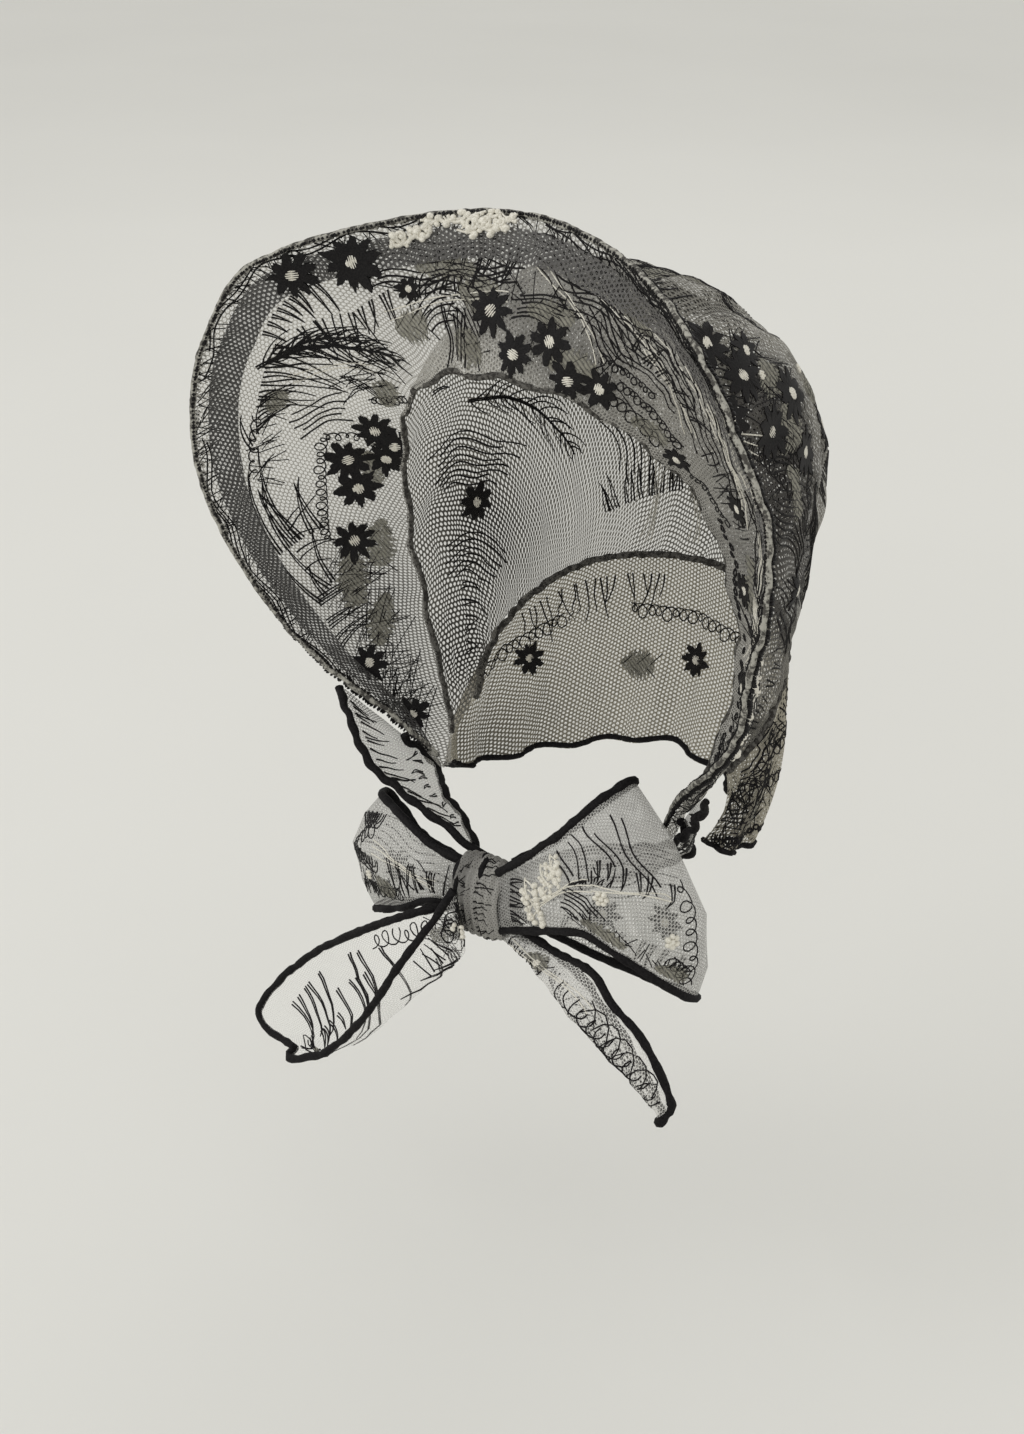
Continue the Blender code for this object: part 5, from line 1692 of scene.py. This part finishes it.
@dataclass
class Crown(SubAssembly):
    """The puffed crown, its net darkened as painted shade, gathered into the face edge and the neck seam."""

    surface: CrownSurface = field(default_factory=CrownSurface)

    def build(self) -> None:
        """Builds the crown and the cord of its face seam."""
        # The tone of 0.46 darkens the whole crown net as painted shade.
        cloth = Cloth("crown_net", self.surface, (-0.96, 0.96), (320, 90), self.palette.crown_net, ("crown",),
                      "crown_tulle", "gathered", ("brim_net",), CROWN_SHADES, tone=0.46, cover=0.16)
        on_it = self.embroider(cloth, "crown", CROWN_MOTIFS, 23, (-0.95, 0.95))
        brim_edge = rows_of(self.surface.brim, SEAM_ENDS, 1.0, 300)
        crown_edge = rows_of(self.surface, SEAM_ENDS, 0.0, 300)
        on_it.append(self.rolled("face_seam", (brim_edge + crown_edge) / 2, 0.0014, self.palette.seam,
                                 slot="crown_tulle", lumps=1.0, lump_size=0.004, sides=6))


@dataclass
class Curtain(SubAssembly):
    """The short ruffled curtain over the neck."""

    surface: CurtainSurface = field(default_factory=CurtainSurface)

    def build(self) -> None:
        """Builds the curtain, its seam and its hem."""
        cloth = Cloth("curtain_net", self.surface, (-0.96, 0.96), (260, 36), self.palette.curtain_net,
                      ("neck_curtain",), "curtain_tulle", "gathered", ("crown_net",),
                      (Shade(0.85, 0.7, 0.2, 0.6, 0.45, 0.3), Shade(-0.6, 0.9, 0.3, 0.3, 0.3, 0.2)),
                      tone=0.25, cover=0.15)
        on_it = self.embroider(cloth, "curtain", CURTAIN_MOTIFS, 37, (-0.95, 0.95))
        for name, across, radius, finish in (("neck_seam", -0.01, 0.0017, self.palette.seam),
                                             ("curtain_hem", 0.985, 0.0013, self.palette.rolled_edge)):
            line = rows_of(self.surface, SEAM_ENDS, across, 240)
            on_it.append(self.rolled(name, line, radius, finish, slot="curtain_tulle", lumps=0.9,
                                     lump_size=0.004, sides=6))


@dataclass
class Ribbon(SubAssembly):
    """One ribbon of the bow or a tie: its net, its embroidery and its rolled black edges."""

    name: str
    surface: RibbonSurface
    steps: tuple[int, int]
    ends: Pair = (0.0, 1.0)
    round_end: bool = False
    rests_on: Sequence[str] = ("knot_wrap",)
    roll_radius: float = 0.0018
    roll_gap: float = 0.0014
    roll_points: int = 90
    tip_points: int = 22
    seed: int = 3
    tone: float = 0.05
    cover: float = 0.0
    sheer: bool = False

    def build(self) -> None:
        """Builds the ribbon and what is sewn on it."""
        net = self.palette.sheer_net if self.sheer else self.palette.ribbon_net
        cloth = Cloth(self.name + "_net", self.surface, self.ends, self.steps, net, (self.name,), "tulle",
                      "folded" if "loop" in self.name else "hung", self.rests_on,
                      (Shade(0.02, 0.5, 0.12, 0.8, 0.35, 0.2),), tone=self.tone, cover=self.cover)
        motifs = [Motif(*row) for row in RIBBON_MOTIFS[self.name]]
        sewn_ends = (self.ends[0] + 0.01, self.ends[1] - 0.01)
        on_it = self.embroider(cloth, self.name, motifs, self.seed, sewn_ends, (0.03, 0.97))
        edges = [rows_of(self.surface, self.ends, across, self.roll_points)
                 for across in (0.0, 0.04, 0.96, 1.0)]
        top, low = beside(edges[0], edges[1], self.roll_gap), beside(edges[3], edges[2], self.roll_gap)
        if self.round_end:
            across = np.linspace(0.06, 0.94, self.tip_points)
            last, inner = (self.surface.place(np.full(self.tip_points, at), across)
                           for at in (self.ends[1], self.ends[1] - 0.03))
            tip = beside(last, inner, self.roll_gap)
            rolls = [("_binding", np.concatenate([top[1:-1], tip, low[-2:0:-1]]))]
        else:
            rolls = [("_binding_top", top[1:-1]), ("_binding_low", low[1:-1])]
        for name, line in rolls:
            node = self.name + name
            on_it.append(self.rolled(node + "_roll", line, self.roll_radius, self.palette.rolled_edge,
                                     replaces=(node,), lumps=0.9, lump_size=0.005))


@dataclass
class Bow(SubAssembly):
    """The ties, loops, ends and knot under the chin."""

    loop_reach: float = 0.100
    tail_reach: float = 0.120
    tie_reach: float = 0.085
    tie_sewn: Pair = (0.86, 0.95)
    tie_standoff: float = 0.0054
    tie_standoff_way: Triple = (1.0, 0.15, -0.62)

    def build(self) -> None:
        """Builds each ribbon, then the knot that holds them."""
        makers = (self.palette, self.threads, self.buds)
        for side, word, loop, tail, tie in ((1, "near", NEAR_LOOP, NEAR_TAIL, NEAR_TIE),
                                            (-1, "far", FAR_LOOP, FAR_TAIL, FAR_TIE)):
            rim = spline(both_sides(RIM), np.linspace(*self.tie_sewn, 3) * side)
            sewn = rim * (RIM_HALF_WIDTH, -RIM_FORWARD, JAW_DROP)
            sewn = sewn + self.tie_standoff * np.array(self.tie_standoff_way) * (side, 1, 1)
            tie_form = RibbonSurface(table=tie, reach=self.tie_reach, side=side, sewn=sewn)
            loop_form = RibbonSurface(table=loop, reach=self.loop_reach, side=side)
            tail_form = RibbonSurface(table=tail, reach=self.tail_reach, side=side, softness=0.16)
            for ribbon in (
                Ribbon(*makers, word + "_tie", tie_form, (70, 14), rests_on=("brim_net",), seed=40 + side,
                       tone=0.25, cover=0.15),
                Ribbon(*makers, word + "_loop", loop_form, (170, 30), seed=50 + side, tone=0.38, cover=0.10),
                Ribbon(*makers, word + "_tail", tail_form, (130, 24), round_end=True, seed=60 + side,
                       sheer=side < 0),
            ):
                ribbon.build()
        self.knot()

    def knot(self) -> None:
        """Builds the pleated wrap, its two rolled edges and the flower on it."""
        surface = KnotSurface()
        cloth = Cloth("knot_wrap", surface, (0.0, 1.0), (96, 30), self.palette.knot_net, ("knot",),
                      "dark_net", "folded", ("near_loop_net", "far_loop_net"),
                      (Shade(0.7, 0.2, 0.6, 0.3, 0.5, 0.2),), tone=0.25, cover=0.4)
        motifs = (Motif(Kind.ROSETTE, 0.74, 0.26, 0, 0, 0.0032, lift=0.001),
                  Motif(Kind.HAIRS, 0.50, 0.56, 0.99, 0.56, 0.012, 17, 1.4),
                  Motif(Kind.HATCH, 0.55, 0.25, 0.95, 0.25, 0.006, 40))
        on_it = self.embroider(cloth, "knot", motifs, 71, (0.0, 1.0))
        at = np.linspace(0.0, 1.0, 60)
        for name, across in (("knot_edge_far", 0.12), ("knot_edge_mid", 0.48)):
            sway = across + 0.05 * np.sin(2 * math.pi * at + 0.6)
            line = surface.place(at, sway, 0.0020)
            on_it.append(self.rolled(name, line, 0.0019, self.palette.rolled_edge, lumps=0.8,
                                     lump_size=0.005))


@dataclass(frozen=True)
class Studio:
    """The pale room, its soft light and the camera at the photo's angle."""

    lens: float = 55.36
    eye_place: Triple = (0.4673, -0.7366, 0.2073)
    eye_back: Triple = (0.51984, -0.74240, 0.42262)
    floor_height: float = -0.43
    floor_size: float = 14.0
    floor_tones: tuple[Colour, Colour] = ((0.69, 0.685, 0.655), (0.73, 0.725, 0.695))
    room_colour: Colour = (0.90, 0.895, 0.865)
    room_strength: float = 0.90
    lamp_aim: Triple = (0.0, 0.0, -0.15)

    def build(self) -> None:
        """Builds the floor, the light and the camera."""
        self.floor()
        self.light()
        self.camera()

    def floor(self) -> None:
        """Lays one wide pale floor."""
        half, low = self.floor_size / 2, self.floor_height
        corners = [(-half, -half, low), (half, -half, low), (half, half, low), (-half, half, low)]
        mesh = mesh_of("floor", corners, faces=[(0, 1, 2, 3)])
        t = Tangle("pale floor")
        place = t.node("ShaderNodeTexCoord", "Object")
        cloud = t.node("ShaderNodeTexNoise", "Fac", Vector=place, Scale=2.0, Detail=3.0)
        mesh.materials.append(t.finish(Base_Color=t.mix(cloud, *self.floor_tones), Roughness=0.9))
        floor = bpy.data.objects.new("floor", mesh)
        bpy.context.scene.collection.objects.link(floor)

    def light(self) -> None:
        """Sets a soft room and a wide window light from the upper left."""
        world = bpy.data.worlds.new("room")
        bpy.context.scene.world = world
        world.use_nodes = True
        colour, strength = world.node_tree.nodes["Background"].inputs[:2]
        colour.default_value = (*self.room_colour, 1)
        strength.default_value = self.room_strength
        for name, place, size, power in (("window", (-1.5, -1.7, 1.3), 1.6, 19.0),
                                         ("fill", (1.8, -1.2, 0.8), 2.0, 4.0),
                                         ("back", (-0.6, 1.8, 1.4), 1.6, 5.0)):
            lamp = bpy.data.lights.new(name, "AREA")
            lamp.shape, lamp.size, lamp.energy = "SQUARE", size, power
            obj = bpy.data.objects.new(name, lamp)
            obj.location = place
            way = Vector(self.lamp_aim) - Vector(place)
            obj.rotation_euler = way.to_track_quat("-Z", "Y").to_euler()
            bpy.context.scene.collection.objects.link(obj)

    def camera(self) -> None:
        """Sets the camera at the photo's angle."""
        lens = bpy.data.cameras.new("camera")
        lens.lens = self.lens
        lens.clip_end = 50
        eye = bpy.data.objects.new("camera", lens)
        eye.location = self.eye_place
        eye.rotation_euler = (-Vector(self.eye_back)).to_track_quat("-Z", "Y").to_euler()
        bpy.context.scene.collection.objects.link(eye)
        bpy.context.scene.camera = eye
        bpy.context.scene.view_settings.view_transform = "Standard"


def main() -> None:
    """Builds the bonnet sub-assembly by sub-assembly, then the room round it."""
    makers = (Palette(), thread_plan(), bead_plan())
    for part in (Brim, Crown, Curtain, Bow):
        part(*makers).build()
        LOG.info("built %s", part.__name__)
    Studio().build()


if __name__ == "__main__":
    logging.basicConfig(level=logging.INFO, format="%(message)s")
    main()
